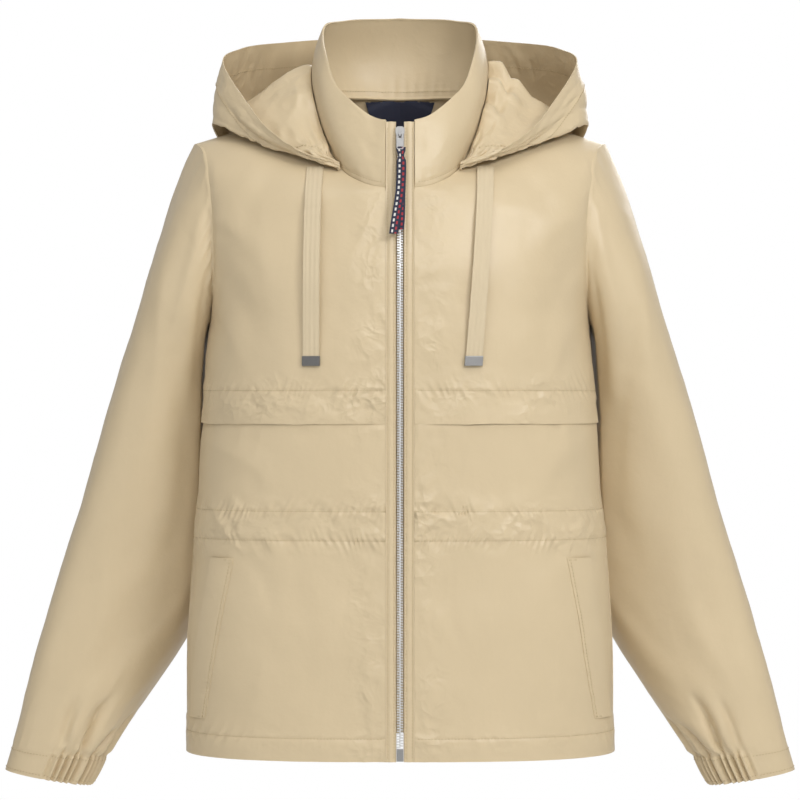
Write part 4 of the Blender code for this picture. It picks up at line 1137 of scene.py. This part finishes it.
def cuff_wave(turns):
    """Gathers of the elastic half, none on the plain half."""
    inside = (turns - GATHER_START) % 1.0 / (GATHER_END - GATHER_START)
    held = np.where(inside < 1, np.sin(math.pi * np.clip(inside, 0, 1)) ** 0.3, 0)
    uneven = inside + 0.010 * np.sin(29 * inside) + 0.006 * np.sin(53 * inside + 1)
    ridge = 0.5 + 0.5 * np.cos(2 * math.pi * CUFF_GATHERS * uneven)
    return held * 1.9 * CUFF_WAVE * (2 * ridge**0.6 - 1.1)


def sleeve_height(side, seed):
    """Height of a sleeve over its plain surface."""
    run, turn = np.meshgrid(sleeve_along * SLEEVE_LENGTH, around * SLEEVE_ROUND, indexing="ij")
    end = SLEEVE_LENGTH - run
    made = np.zeros(run.shape)
    for shift in (-SLEEVE_ROUND, 0.0, SLEEVE_ROUND):
        made += creases(run, turn + shift, crease_rows(SLEEVE_CREASES, side) * SLEEVE_SCALE)
    a = 2 * math.pi * turn / SLEEVE_ROUND
    east = 0.064 * np.cos(a)
    north = 0.064 * np.sin(a)
    made += soft(run * 0.6 + 0.8 * east, 0.9 * north + 0.2 * run, seed, 0.0024)
    made += 0.00040 * crinkle(run + east, north - 0.3 * run, 0.030, seed + 3)
    made *= ease(sleeve_along / 0.06)[:, None] * ease(end / 0.030) * (1 - facing_body)
    slack = puckers(turn, run, 0.024, 0.0012, 0.030, seed + 5) * ease(sleeve_along / 0.012)[:, None]
    made += slack * (1 - facing_body)
    elastic = np.exp(-((np.abs((turn / SLEEVE_ROUND + 0.5) % 1.0 - 0.5)) / 0.27) ** 8)
    made += 0.75 * cuff_wave(around)[None, :] * np.exp(-end / 0.010)
    folds = puckers(turn, end, 0.0190, 0.0042, 0.036, seed + 9) * ease(end / 0.006)
    valleys = creases(run, turn, crease_rows(CUFF_VALLEYS, side) * SLEEVE_SCALE)
    folds = 0.6 * folds + valleys * ease(end / 0.004 + 0.3)
    made += elastic * (folds + 0.0042 * ease(end / 0.008) * np.exp(-end / 0.034))
    plain = puckers(turn, end, 0.016, 0.0005, 0.014, seed + 14) * ease(end / 0.004)
    return made + (1 - elastic) * plain + sleeve_folds


gathered = np.linspace(GATHER_START, GATHER_END, 201)[:-1]
cuff_around = np.concatenate([np.linspace(PLAIN_START, GATHER_START, 41)[:-1], gathered]) % 1.0
cuff_along = np.concatenate([[-0.14, -0.02, 0.0015], np.linspace(0.012, 1.0, 22)])
cuff_skin = np.array([ring(CUFF_END, v, cuff_around) for v in cuff_along])
cuff_out = outward_normals(cuff_skin, True, cuff_skin.mean(axis=1, keepdims=True))
turned_in = cuff_along < 0
cuff_swell = 0.75 + 0.55 * np.sin(math.pi * np.clip(cuff_along, 0, 1)) ** 0.5
cuff_depth = (cuff_swell * np.where(turned_in, 0.75, 1.0))[:, None] * cuff_wave(cuff_around)[None, :]
cuff_depth = cuff_depth - np.where(turned_in, TURNING_DEPTH, 0.0)[:, None]
for side, label, flip in SIDES:
    grid = (sleeve_skin + sleeve_out * sleeve_height(side, SLEEVE_SEED + side)[..., None]) * flip
    cloth("sleeve", label, grid, sleeve_out * flip, FINE_CLOTH, taffeta,
          (0.430, 0.640), 0.240, "hung", "front_yoke" + label, closed=True)
    plain = 0.0003 * sway(cuff_around * 0.2, 0.012, CUFF_SEED + side)[None, :]
    lift = cuff_depth + plain * ease(cuff_along / 0.2)[:, None]
    grid = (cuff_skin + cuff_out * lift[..., None]) * flip
    cloth("cuff", label, grid, cuff_out * flip, FINE_CLOTH, taffeta,
          (0.400, 0.032), None, "gathered", "sleeve" + label, closed=True)
    for row in CUFF_STITCH_ROWS:
        keep_line(grid[row], (cuff_out * flip)[row], 0.0)


# Collar and hood.

def collar_point(degrees, rise):
    """Collar surface, 0 degrees at the front, rise 0 at the neck seam and 1 at the top."""
    side = 1 if degrees <= 180 else -1
    d = degrees if degrees <= 180 else 360 - degrees
    a = math.radians(d)
    base = neck(d)
    depth = COLLAR_FRONT if d < 90 else COLLAR_BACK
    top = np.array([COLLAR_HALF_WIDTH * math.sin(a), -depth * math.cos(a), read(COLLAR_TOP, "z", d)])
    point = base + (top - base) * rise
    out = unit(np.array([math.sin(a), -math.cos(a), 0.0]))
    swell = COLLAR_BULGE * math.sin(math.pi * rise) * float(ease((d - 8) / 50))
    point = point + out * swell
    return point * np.array([side, 1, 1])


collar_start = math.degrees(math.asin((FRONT_EDGE + 0.0002) / COLLAR_HALF_WIDTH))
collar_turn = np.linspace(collar_start, 360 - collar_start, 220)
collar_rise = np.concatenate([[-0.04], np.linspace(0.004, 0.14, 9), np.linspace(0.17, 0.9, 24),
                              np.linspace(0.92, 1.0, 8)])
collar_skin = np.array([[collar_point(d, r) for d in collar_turn] for r in collar_rise])
collar_out = outward_normals(collar_skin, False, np.array([0, -0.02, 0.0]))
rise, run = np.meshgrid(collar_rise * 0.08, np.radians(collar_turn) * 0.085, indexing="ij")
edge = np.minimum(collar_turn - collar_turn[0], collar_turn[-1] - collar_turn)[None, :] * 0.0015
in_front = ease((62 - np.minimum(collar_turn, 360 - collar_turn)) / 30)[None, :]
collar_lift = soft(run, rise, COLLAR_SEED, 0.0010) * ease(rise / 0.02) * ease((0.08 - rise) / 0.02)
ruffle = 0.0013 * wander(run, rise, 0.030, COLLAR_SEED + 2)
ruffle = ruffle + 0.0004 * crinkle(run, rise, 0.018, COLLAR_SEED + 3)
collar_lift = collar_lift + in_front * ruffle
collar_lift = collar_lift + stitched(run, rise - 0.0064, 0.012, 0.0006, 0.010, COLLAR_SEED + 5)
collar_lift = collar_lift * ease((edge + 0.001) / 0.006)
collar_lift = collar_lift - 0.0004 * ease((rise - 0.0775) / 0.0025)
collar_lift = collar_lift + 0.0019 * hill(edge, 0.0105) * ease(rise / 0.006)
collar_lift[0] = -0.0022
collar_grid = collar_skin + collar_out * collar_lift[..., None]
cloth("collar", "", collar_grid, collar_out, COLLAR_THICK, collar_taffeta,
      (0.470, 0.105), 0.042, "folded", "back")
keep_rows(collar_grid, collar_out, collar_rise, (COLLAR_STITCH_RISE,))
inner_collar = collar_grid - collar_out * COLLAR_THICK
keep_rows(inner_collar[:, COLLAR_BACK_COLUMNS], -collar_out[:, COLLAR_BACK_COLUMNS], collar_rise,
          (COLLAR_STITCH_RISE,))

collar_tree = tree_of([collar_skin[::4]])
sleeve_tree = tree_of([sleeve_skin[::3]], closed=True)


def collar_outward(point):
    """Direction out of the collar."""
    return unit(point - np.array([0, -0.02, point[2]]))


def shoulder_outward(point):
    """Direction up and out of the shoulders and back."""
    if point[1] > 0.05:
        return unit(np.array([point[0] * 0.5, point[1], max(point[2] + 0.06, 0) * 1.5]))
    return unit(np.array([point[0] * 0.6, point[1] * 0.9, 0.16 + point[2]]))


def smooth_run(stops, shares):
    """Smooth curve through points, at shares of its length."""
    run = run_along(stops)
    return np.stack([through(run / run[-1], stops[:, i], shares) for i in range(3)], axis=1)


def hood_section(fan, shares):
    """One section of the left hood half: up the collar, down to the lower fold, and on to the rim."""
    turn = (fan - HOOD["fan"][0]) / (HOOD["fan"][-1] - HOOD["fan"][0])
    start = neck(HOOD_FRONT_ANGLE + (180 - HOOD_FRONT_ANGLE) * turn)
    a = math.radians(fan)
    out = np.array([math.sin(a), -math.cos(a), 0.0])
    centre = np.array([0, HOOD_CENTRE_Y, 0])
    up = np.array([0, 0, 1.0])
    start = start + out * 0.004 + up * 0.003
    fold = centre + out * read(HOOD, "fold_r", fan) + up * read(HOOD, "fold_z", fan)
    rim = centre + out * read(HOOD, "rim_r", fan) + up * read(HOOD, "rim_z", fan)
    hump = start * 0.99 + fold * 0.01 + up * (read(HOOD, "rise", fan) - 0.004)
    valley = start * 0.18 + fold * 0.82 + up * 0.006
    belly = (fold + rim) / 2 + out * read(HOOD, "bulge", fan)
    inside_shares = np.minimum(shares / HOOD_FOLD_SHARE, 1)
    outside_shares = np.maximum((shares - HOOD_FOLD_SHARE) / (1 - HOOD_FOLD_SHARE), 0)
    inside = smooth_run(np.array([start, hump, valley, fold]), inside_shares)
    outside = smooth_run(np.array([fold, belly, rim]), outside_shares)
    return np.where((shares < HOOD_FOLD_SHARE)[:, None], inside, outside)


HOOD_FANS = np.linspace(36.4, 179.93, 120)
HOOD_SHARES = np.linspace(0, 1, 101)
hood_skin = np.array([hood_section(fan, HOOD_SHARES) for fan in HOOD_FANS])
hood_out = grid_normals(hood_skin, False)
hood_run = np.concatenate([np.zeros((len(HOOD_FANS), 1)),
                           np.cumsum(np.linalg.norm(np.diff(hood_skin, axis=1), axis=2), axis=1)], axis=1)
hood_left = hood_run[:, -1:] - hood_run


def hood_height(side, seed):
    """Height of one hood half over its plain surface."""
    fan, share = np.meshgrid(np.radians(HOOD_FANS) * 0.15, HOOD_SHARES, indexing="ij")
    deep = share * 0.20
    arc = math.radians(1) * 0.15
    rows = crease_rows(HOOD_CREASES, side) * np.array([arc, 0.20, arc, 0.20, 1, 1])
    made = soft(fan, deep, seed, 0.0022) + creases(fan, deep, rows)
    made = made * ease(hood_run / 0.02) * ease(hood_left / 0.02 + 0.2)
    made = made * (ease((HOOD_FANS[-1] - HOOD_FANS) / 8) * ease((HOOD_FANS - HOOD_FANS[0]) / 6))[:, None]
    free = ease(hood_run / 0.02) * ease(hood_left / 0.012)
    made = made + 0.0011 * crinkle(fan, deep, 0.026, seed + 8) * free
    ruffled = hill(HOOD_FANS - 46, 9)[:, None] * ease(hood_run / 0.006)
    made = made + 0.0022 * ruffled * crinkle(fan, deep, 0.014, seed + 30)
    return made + stitched(fan, hood_left - HOOD_CASING, 0.013, 0.0009, 0.012, seed + 3)


for side, label, flip in SIDES:
    grid = hood_skin + hood_out * hood_height(side, HOOD_SEED + side)[..., None]
    if side > 0:
        crumpled = np.interp(HOOD_SHARES, HOOD_CRUMPLE["share"], HOOD_CRUMPLE["up"])
        grid[..., 2] += hill(HOOD_FANS - 92, 22)[:, None] * crumpled
    for row in grid:
        for k, point in enumerate(row):
            point = keep_clear(point, torso_tree, HOOD_CLEAR, shoulder_outward)
            if point[0] > HOOD_OVER_SLEEVE_X:
                point = keep_clear(point, sleeve_tree, HOOD_CLEAR, shoulder_outward)
            if HOOD_SHARES[k] < HOOD_FOLD_SHARE - 1e-6:
                point = keep_clear(point, collar_tree, HOOD_COLLAR_CLEAR, collar_outward)
            row[k] = point
    grid = (grid + hood_out * FINE_CLOTH / 2) * flip
    cloth("hood", label, grid, hood_out * flip, FINE_CLOTH, hood_taffeta,
          (0.360, 0.340), 0.090, "hung", "back")
    line = np.array([at_run(run, row, run[-1] - HOOD_CASING) for run, row in zip(hood_run, grid)])
    out = hood_out[:, HOOD_CASING_COLUMN] * flip
    for way in (1, -1):
        keep_line(line + out * (way * 0.0005 - 0.0004), way * out, 0.02)


# Zip, stitches and pockets.

def blend_line(z):
    """Middle line just under the neck seam."""
    low = read(PROFILE, "front_y", -0.100)
    return low + (-NECK_FRONT - low) * (z + 0.100) / (neck(0)[2] + 0.100)


def front_line(z):
    """Depth of the closed front's middle line at a height, torso and collar."""
    neck_z = neck(0)[2]
    if z <= neck_z:
        return read(PROFILE, "front_y", z) if z < -0.100 else blend_line(z)
    share = (z - neck_z) / (COLLAR_TOP["z"][0] - neck_z)
    return -NECK_FRONT + (NECK_FRONT - COLLAR_FRONT) * share


def front_strip(x_values, z_values, off):
    """Grid along the closed front, set out from the middle line, with its outward directions."""
    rows = []
    outs = []
    for z in z_values:
        slope = (front_line(z + 0.004) - front_line(z - 0.004)) / 0.008
        out = unit(np.array([0, -1.0, slope]))
        rows.append([np.array([x, front_line(z), z]) + out * off for x in x_values])
        outs.append([out for _ in x_values])
    return np.array(rows), np.array(outs)


welt_z = np.linspace(HEM_Z, -0.0212, 300)
tape_z = np.linspace(HEM_Z, ZIP_TOP_Z, 120)
welt_x = np.linspace(ZIP_WELT_INNER, FRONT_EDGE - 0.0001, 13)
welt_x = np.append(welt_x, [FRONT_EDGE + 0.0003, FRONT_EDGE + TURNING])
tape_x = np.linspace(ZIP_HALF_CHAIN + 0.0003, 0.0139, 8)
welt_middle = (ZIP_WELT_INNER + FRONT_EDGE) / 2
for side, label, _ in SIDES:
    grid, outs = front_strip(side * welt_x, welt_z, 0.0006)
    x = np.abs(grid[..., 0])
    z = grid[..., 2]
    lift = 0.0003 * np.clip(1 - ((x - welt_middle) / 0.0047) ** 2, 0, 1) ** 0.5 - 0.0006
    for line, seed in zip(WELT_STITCHES, WELT_SEEDS):
        lift = lift + stitched(z, x - line, 0.0105, 0.00022, 0.004, seed + side, groove=0.0007)
    lift = np.where(x > FRONT_EDGE, -0.0019 - 0.0012 * ease((z - neck(0)[2]) / 0.004), lift)
    grid = grid + outs * lift[..., None]
    cloth("zip_welt", label, grid, outs, WELT_THICK, taffeta,
          (0.0135, 0.620), None, "folded", "front_lower" + label)
    keep_rows(grid.swapaxes(0, 1), outs.swapaxes(0, 1), welt_x, WELT_STITCHES)
    grid, outs = front_strip(side * tape_x, tape_z, -0.0026)
    cloth("zip_tape", label, grid, outs, FINE_CLOTH, tape_cloth,
          (0.0110, 0.610), None, "stretched", "zip_welt" + label)


def merged(name, parts, made, smooth=True):
    """One object from many sets of points and faces."""
    points = []
    faces = []
    count = 0
    for part_points, part_faces in parts:
        points.append(part_points)
        faces += [[i + count for i in face] for face in part_faces]
        count += len(part_points)
    return mesh_object(name, np.concatenate(points), faces, made, smooth)


STITCH_PITCH = 0.0032
STITCH_HALF_WIDE = 0.00030
STITCH_HALF_HIGH = 0.00028
STITCH_RINGS = ((-1.0, 0.35), (-0.62, 1.0), (0.62, 1.0), (1.0, 0.35))
TOOTH_RINGS = ((-0.0007, 0.00042, 0.0008), (0.0001, 0.00062, 0.0011), (0.0012, 0.00050, 0.0011),
               (0.0026, 0.00066, 0.0012), (0.0030, 0.00050, 0.0009))


def bar_faces(rings):
    """Faces of a bar whose rings have four points each."""
    last = 4 * (rings - 1)
    faces = [[3, 2, 1, 0], list(range(last, last + 4))]
    return faces + grid_faces(rings, 4, 0, True, False).tolist()


def stitch(centre, ahead, out, half_long=0.0010):
    """One raised stitch of thread."""
    beside = unit(np.cross(out, ahead))
    points = []
    for step, size in STITCH_RINGS:
        for a in (45, 135, 225, 315):
            w = math.cos(math.radians(a)) * 1.4142 * STITCH_HALF_WIDE * size
            h = math.sin(math.radians(a)) * 1.4142 * STITCH_HALF_HIGH * size
            points.append(centre + ahead * step * half_long + beside * w + out * h)
    return np.array(points), bar_faces(len(STITCH_RINGS))


def sew(line, outward, inset):
    """Stitches along a polyline."""
    run = run_along(line)
    made = []
    for k in range(int((run[-1] - 2 * inset) / STITCH_PITCH)):
        at = inset + (k + 0.5) * STITCH_PITCH
        ahead = unit(at_run(run, line, at + 0.001) - at_run(run, line, at - 0.001))
        out = unit(at_run(run, outward, at))
        made.append(stitch(at_run(run, line, at) + out * 0.00018, ahead, out))
    return made


def tack(start, end, out, rows):
    """Dense bar of short cross stitches."""
    ahead = unit(end - start)
    beside = unit(np.cross(out, ahead))
    return [stitch(start + (end - start) * (k + 0.5) / rows, beside, out, 0.0009) for k in range(rows)]


thread_parts = []
for line, outward, inset in thread_lines:
    thread_parts += sew(line, outward, inset)

pocket_z = np.linspace(POCKET["z"][0], POCKET["z"][1], 90)
off = np.linspace(0, 1, POCKET_COLUMNS)
for side, label, flip in SIDES:
    rows = []
    outs = []
    for z in pocket_z:
        length = curve_length(torso_curve("front", level_of(z)))
        start = share_of("front", z, read(POCKET, "inner_x", z))
        shares = np.linspace(start, min(start + POCKET_WIDTH / length, 0.999), POCKET_COLUMNS)
        spots, normals = torso_row("front", level_of(z), shares)
        run = shares[None] * length
        lift = lower_height(side, spots[None], run, length - run, LOWER_SEED + side)[0]
        lift = lift + 0.0003 + 0.0004 * ease(off / 0.2) + 0.0010 * ease(off)
        beside = off * POCKET_WIDTH - 0.0028
        lift = lift + stitched(np.full(POCKET_COLUMNS, z), beside, 0.011, 0.00030, 0.006, POCKET_SEED + side)
        rows.append(spots + normals * lift[:, None])
        outs.append(normals)
    grid = np.array(rows) * flip
    outs = np.array(outs) * flip
    cloth("pocket_welt", label, grid, outs, FINE_CLOTH, taffeta,
          (0.0305, 0.162), None, "folded", "front_lower" + label)
    thread_parts += sew(grid[:, 2], outs[:, 2], 0.001)
    for row in (1, -2):
        thread_parts += tack(grid[row, 1], grid[row, 6], outs[row, 4], 6)
    grid = lower_grids[side]
    for z in (WAIST_TOP_Z, WAIST_LOW_Z):
        row = int(np.argmin(np.abs(LOWER_ROWS - z)))
        thread_parts += tack(grid[row, 0], grid[row, 3], lower_base[1][row, 1] * flip, 5)
stitching = merged("stitching", thread_parts, thread_made)

TOOTH_PITCH = 0.0026
teeth = []
for k, z in enumerate(np.arange(HEM_Z + 0.0140, ZIP_TOP_Z - 0.003, TOOTH_PITCH / 2)):
    side = 1 if k % 2 else -1
    grid, outs = front_strip([0.0], [z], -0.0013)
    centre = grid[0, 0]
    out = outs[0, 0]
    up = unit(np.cross(np.array([1.0, 0, 0]), out))
    up = up if up[2] > 0 else -up
    points = []
    for x, half_z, half_y in TOOTH_RINGS:
        for sz, sy in ((-1, -1), (1, -1), (1, 1), (-1, 1)):
            points.append(centre + np.array([side * x, 0, 0]) + up * sz * half_z + out * sy * half_y)
    faces = bar_faces(len(TOOTH_RINGS))
    teeth.append((np.array(points), faces if side > 0 else [face[::-1] for face in faces]))
chain = merged("zip_teeth", teeth, bright_metal, smooth=False)


def finer(node, made, bevel):
    """A bevelled copy of a small hard node."""
    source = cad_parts[node]
    copy = bpy.data.objects.new(node + "_fine", source.data.copy())
    copy.matrix_world = source.matrix_world.copy()
    copy.data.materials.clear()
    copy.data.materials.append(made)
    scene.collection.objects.link(copy)
    welded = bmesh.new()
    welded.from_mesh(copy.data)
    bmesh.ops.remove_doubles(welded, verts=welded.verts, dist=1e-6)
    bmesh.ops.dissolve_limit(welded, angle_limit=0.02, verts=welded.verts, edges=welded.edges)
    welded.to_mesh(copy.data)
    welded.free()
    step = copy.modifiers.new("bevel", "BEVEL")
    step.width = bevel
    step.segments = 2
    step.limit_method = "ANGLE"
    return copy


hard = [(chain, "zip_chain", "jacket", "bright_metal")]
for node, made, bevel, body, slot in (
    ("zip_box", steel, 0.0004, "jacket", "bright_metal"),
    ("zip_slider", steel, 0.00035, "jacket", "bright_metal"),
    ("zip_pull_tab", steel, 0.0002, "pull", "bright_metal"),
    ("drawstring_tip_left", steel, 0.0005, "jacket", "bright_metal"),
    ("drawstring_tip_right", grey_metal, 0.0005, "jacket", "grey_metal"),
):
    hard.append((finer(node, made, bevel), node, body, slot))


# Ribbon, drawstrings and label.

def with_uv(piece, rows, columns, long):
    """Ribbon coordinates: across from 0 to 1 and along in dash lengths."""
    layer = piece.data.uv_layers.new(name="UVMap")
    count = rows * columns
    for loop in piece.data.loops:
        index = loop.vertex_index % count
        layer.data[loop.index].uv = ((index % columns) / (columns - 1), index // columns / (rows - 1) * long)


SLIDER_BACK_Y = front_line(-0.033) - 0.0016
TAB_AXIS = np.array([0.0, SLIDER_BACK_Y - 0.0024 - 0.0022, -0.034])
TAB_LEAN = math.radians(17)
RIBBON = table(
    "drop shift stand",
    (0.0130, 0.0008, 0.0000),
    (0.0164, 0.0010, 0.0000),
    (0.0320, 0.0014, 0.0004),
    (0.0520, 0.0008, 0.0006),
    (0.0760, -0.0012, 0.0006),
    (0.1030, -0.0042, 0.0004),
)
RIBBON_ROWS = 90
RIBBON_COLUMNS = 9
TAILS = ((0.10, -0.0007, 0.1020, -0.0020), (-0.06, 0.0006, 0.0975, 0.0030))
tails = []
for tail, (turn, depth_off, end, spread) in enumerate(TAILS):
    rows = []
    for drop in np.linspace(0.0135, end, RIBBON_ROWS):
        tilt = turn * ease((drop - 0.03) / 0.06) * 4
        y = TAB_AXIS[1] - drop * math.sin(TAB_LEAN)
        z = TAB_AXIS[2] - drop * math.cos(TAB_LEAN)
        depth = min(y, front_line(z) - 0.0046) - read(RIBBON, "stand", drop) + depth_off
        x = read(RIBBON, "shift", drop) + spread * float(ease((drop - 0.05) / 0.05))
        half = 0.0046 - 0.0018 * hill(drop - 0.022, 0.004)
        across = np.linspace(-half, half, RIBBON_COLUMNS)
        curl = 0.0006 * np.sin(60 * drop + tail) * ease((drop - 0.03) / 0.03) * (across / 0.005)
        y = depth + across * math.sin(tilt) * 0.25 - curl
        rows.append(np.stack([x + across * math.cos(tilt), y, np.full(RIBBON_COLUMNS, z)], axis=1))
    grid = np.array(rows)
    outs = np.broadcast_to([0.0, -1.0, 0.0], grid.shape)
    piece = shell("ribbon_tail_%d" % tail, grid, outs, 0.0005, ribbon_cloth)
    with_uv(piece, RIBBON_ROWS, RIBBON_COLUMNS, 16.0)
    tails.append(piece)


def facing_spot(tree, start):
    """Where a line to the back meets a surface, and the direction towards the front there."""
    spot, normal, _, _ = tree.ray_cast(Vector(start), Vector((0, 1, 0)))
    normal = np.array(normal)
    return np.array(spot), -normal if normal[1] > 0 else normal


tape_across = np.linspace(-1, 1, 15)
tape_ribs = 0.0002 * np.cos(tape_across * 3.5 * math.pi) - 0.0002
cords = []
for side, top_x, top_z, low_x, low_z in zip(*DRAWSTRING.values()):
    label = "left" if side > 0 else "right"
    front_tree = tree_of(torso_grids(int(side))[:1])
    grid = []
    outs = []
    path = []
    for share in np.linspace(0, 1, 130):
        start = (top_x + (low_x - top_x) * share, -0.5, top_z + (low_z - top_z) * share)
        spot, normal = facing_spot(front_tree, start)
        across = unit(np.cross(np.array([0, 0, 1.0]), normal))
        base = spot + normal * (0.0022 + 0.0030 * math.sin(math.pi * share) + TAPE_THICK)
        picot = 0.0004 * math.cos(2 * math.pi * share * 65)
        offsets = tape_across * (TAPE_WIDTH / 2 + picot)
        grid.append(base + across * offsets[:, None] + normal * tape_ribs[:, None])
        outs.append(np.repeat(normal[None], len(tape_across), axis=0))
        path.append(base - normal * TAPE_THICK / 2)
    piece = shell("drawstring_tape_" + label, np.array(grid), np.array(outs), TAPE_THICK, cord_cloth)
    cords.append((piece, label, np.array(path)))

rows = []
outs = []
back_tree = tree_of(torso_grids(1)[1:])
mirror = np.array([-1, 1, 1])
for drop in np.linspace(0.0025, LABEL_HEIGHT, 30):
    half = LABEL_TOP_HALF + (LABEL_LOW_HALF - LABEL_TOP_HALF) * drop / LABEL_HEIGHT
    z = neck(180)[2] - drop
    found = [facing_spot(back_tree, (x, 0, z)) for x in np.linspace(0.0002, half, 18)]
    spots, facing = map(np.array, zip(*found))
    spots = spots + facing * (CLOTH + 0.0028)
    rows.append(np.concatenate([(spots * mirror)[::-1], spots]))
    outs.append(np.concatenate([(facing * mirror)[::-1], facing]))
cloth("neck_label", "", np.array(rows), np.array(outs), 0.0007, label_cloth,
      (0.075, 0.034), 0.0021, "laid", "back")

# Every piece goes on its body, and the solid it stands for is hidden.
for piece, node, flat, area, held, support in cloth_pieces:
    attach(piece, "jacket")
    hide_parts(node)
    slot = "sand_taffeta"
    if node.startswith("zip_tape"):
        slot = "zip_tape_cloth"
    if node == "neck_label":
        slot = "label_cloth"
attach(stitching, "jacket")
for piece, node, body, slot in hard:
    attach(piece, body)
    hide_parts(node)
for piece, label, path in cords:
    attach(piece, "jacket")
    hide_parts("drawstring_" + label)
for piece in tails:
    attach(piece, "pull")
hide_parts("pull_ribbon")


# Lights and surroundings.

def area_light(name, place_at, aim, size, power):
    """A large soft light."""
    data = bpy.data.lights.new(name, "AREA")
    data.shape = "RECTANGLE"
    data.size = size[0]
    data.size_y = size[1]
    data.energy = power
    lamp = bpy.data.objects.new(name, data)
    lamp.location = place_at
    lamp.rotation_euler = (Vector(aim) - Vector(place_at)).to_track_quat("-Z", "Y").to_euler()
    scene.collection.objects.link(lamp)


area_light("key", (1.8, -2.5, 1.3), (0, 0, -0.25), (1.0, 1.0), 38)
area_light("fill", (-2.3, -2.4, 0.3), (0, 0, -0.30), (1.8, 1.8), 7)
area_light("front", (0.3, -3.2, 0.9), (0, 0, -0.20), (1.0, 1.0), 26)
area_light("top", (0.1, -1.3, 2.4), (0, 0, -0.10), (2.0, 1.2), 24)
area_light("back", (0.9, 2.6, 1.1), (0, 0, -0.25), (1.6, 1.6), 30)

world = bpy.data.worlds.new("studio")
world.use_nodes = True
world.node_tree.nodes["Background"].inputs[0].default_value = (1, 1, 1, 1)
world.node_tree.nodes["Background"].inputs[1].default_value = 0.42
scene.world = world

DOME = 9.0
DOME_RINGS = 16
DOME_SPOKES = 32
dome_points = [(0, 0, -DOME), (0, 0, DOME)]
for k in range(1, DOME_RINGS):
    for j in range(DOME_SPOKES):
        a = math.pi * k / DOME_RINGS
        b = 2 * math.pi * j / DOME_SPOKES
        wide = DOME * math.sin(a)
        dome_points.append((wide * math.cos(b), wide * math.sin(b), -DOME * math.cos(a)))
last_ring = 2 + (DOME_RINGS - 2) * DOME_SPOKES
dome_faces = grid_faces(DOME_RINGS - 1, DOME_SPOKES, 2, True, False).tolist()
for j in range(DOME_SPOKES):
    n = (j + 1) % DOME_SPOKES
    dome_faces += [[2 + j, 2 + n, 0], [last_ring + n, last_ring + j, 1]]
backdrop_made, backdrop_tree, _ = nodes_of("white backdrop")
glow = add(backdrop_tree, "ShaderNodeEmission", in_Color=(1, 1, 1, 1), in_Strength=1.0)
fill(backdrop_tree, backdrop_tree.nodes["Material Output"], in_Surface=glow)
backdrop = mesh_object("backdrop", dome_points, dome_faces, backdrop_made)
for kind in ("diffuse", "glossy", "transmission", "shadow"):
    setattr(backdrop, "visible_" + kind, False)

FLOOR_Z = -1.05
floor_points = [(x, y, FLOOR_Z) for x, y in ((-2.0, -2.0), (2.0, -2.0), (2.0, 2.0), (-2.0, 2.0))]
floor_made, floor_tree, floor_shader = nodes_of("pale floor")
floor_noise = add(floor_tree, "ShaderNodeTexNoise", "Fac", in_Scale=3.0)
fill(floor_tree, floor_shader, in_Roughness=0.8,
     in_Base_Color=mixed(floor_tree, floor_noise, (0.80, 0.80, 0.79), (0.84, 0.84, 0.83)))
mesh_object("floor", floor_points, [[0, 1, 2, 3]], floor_made)
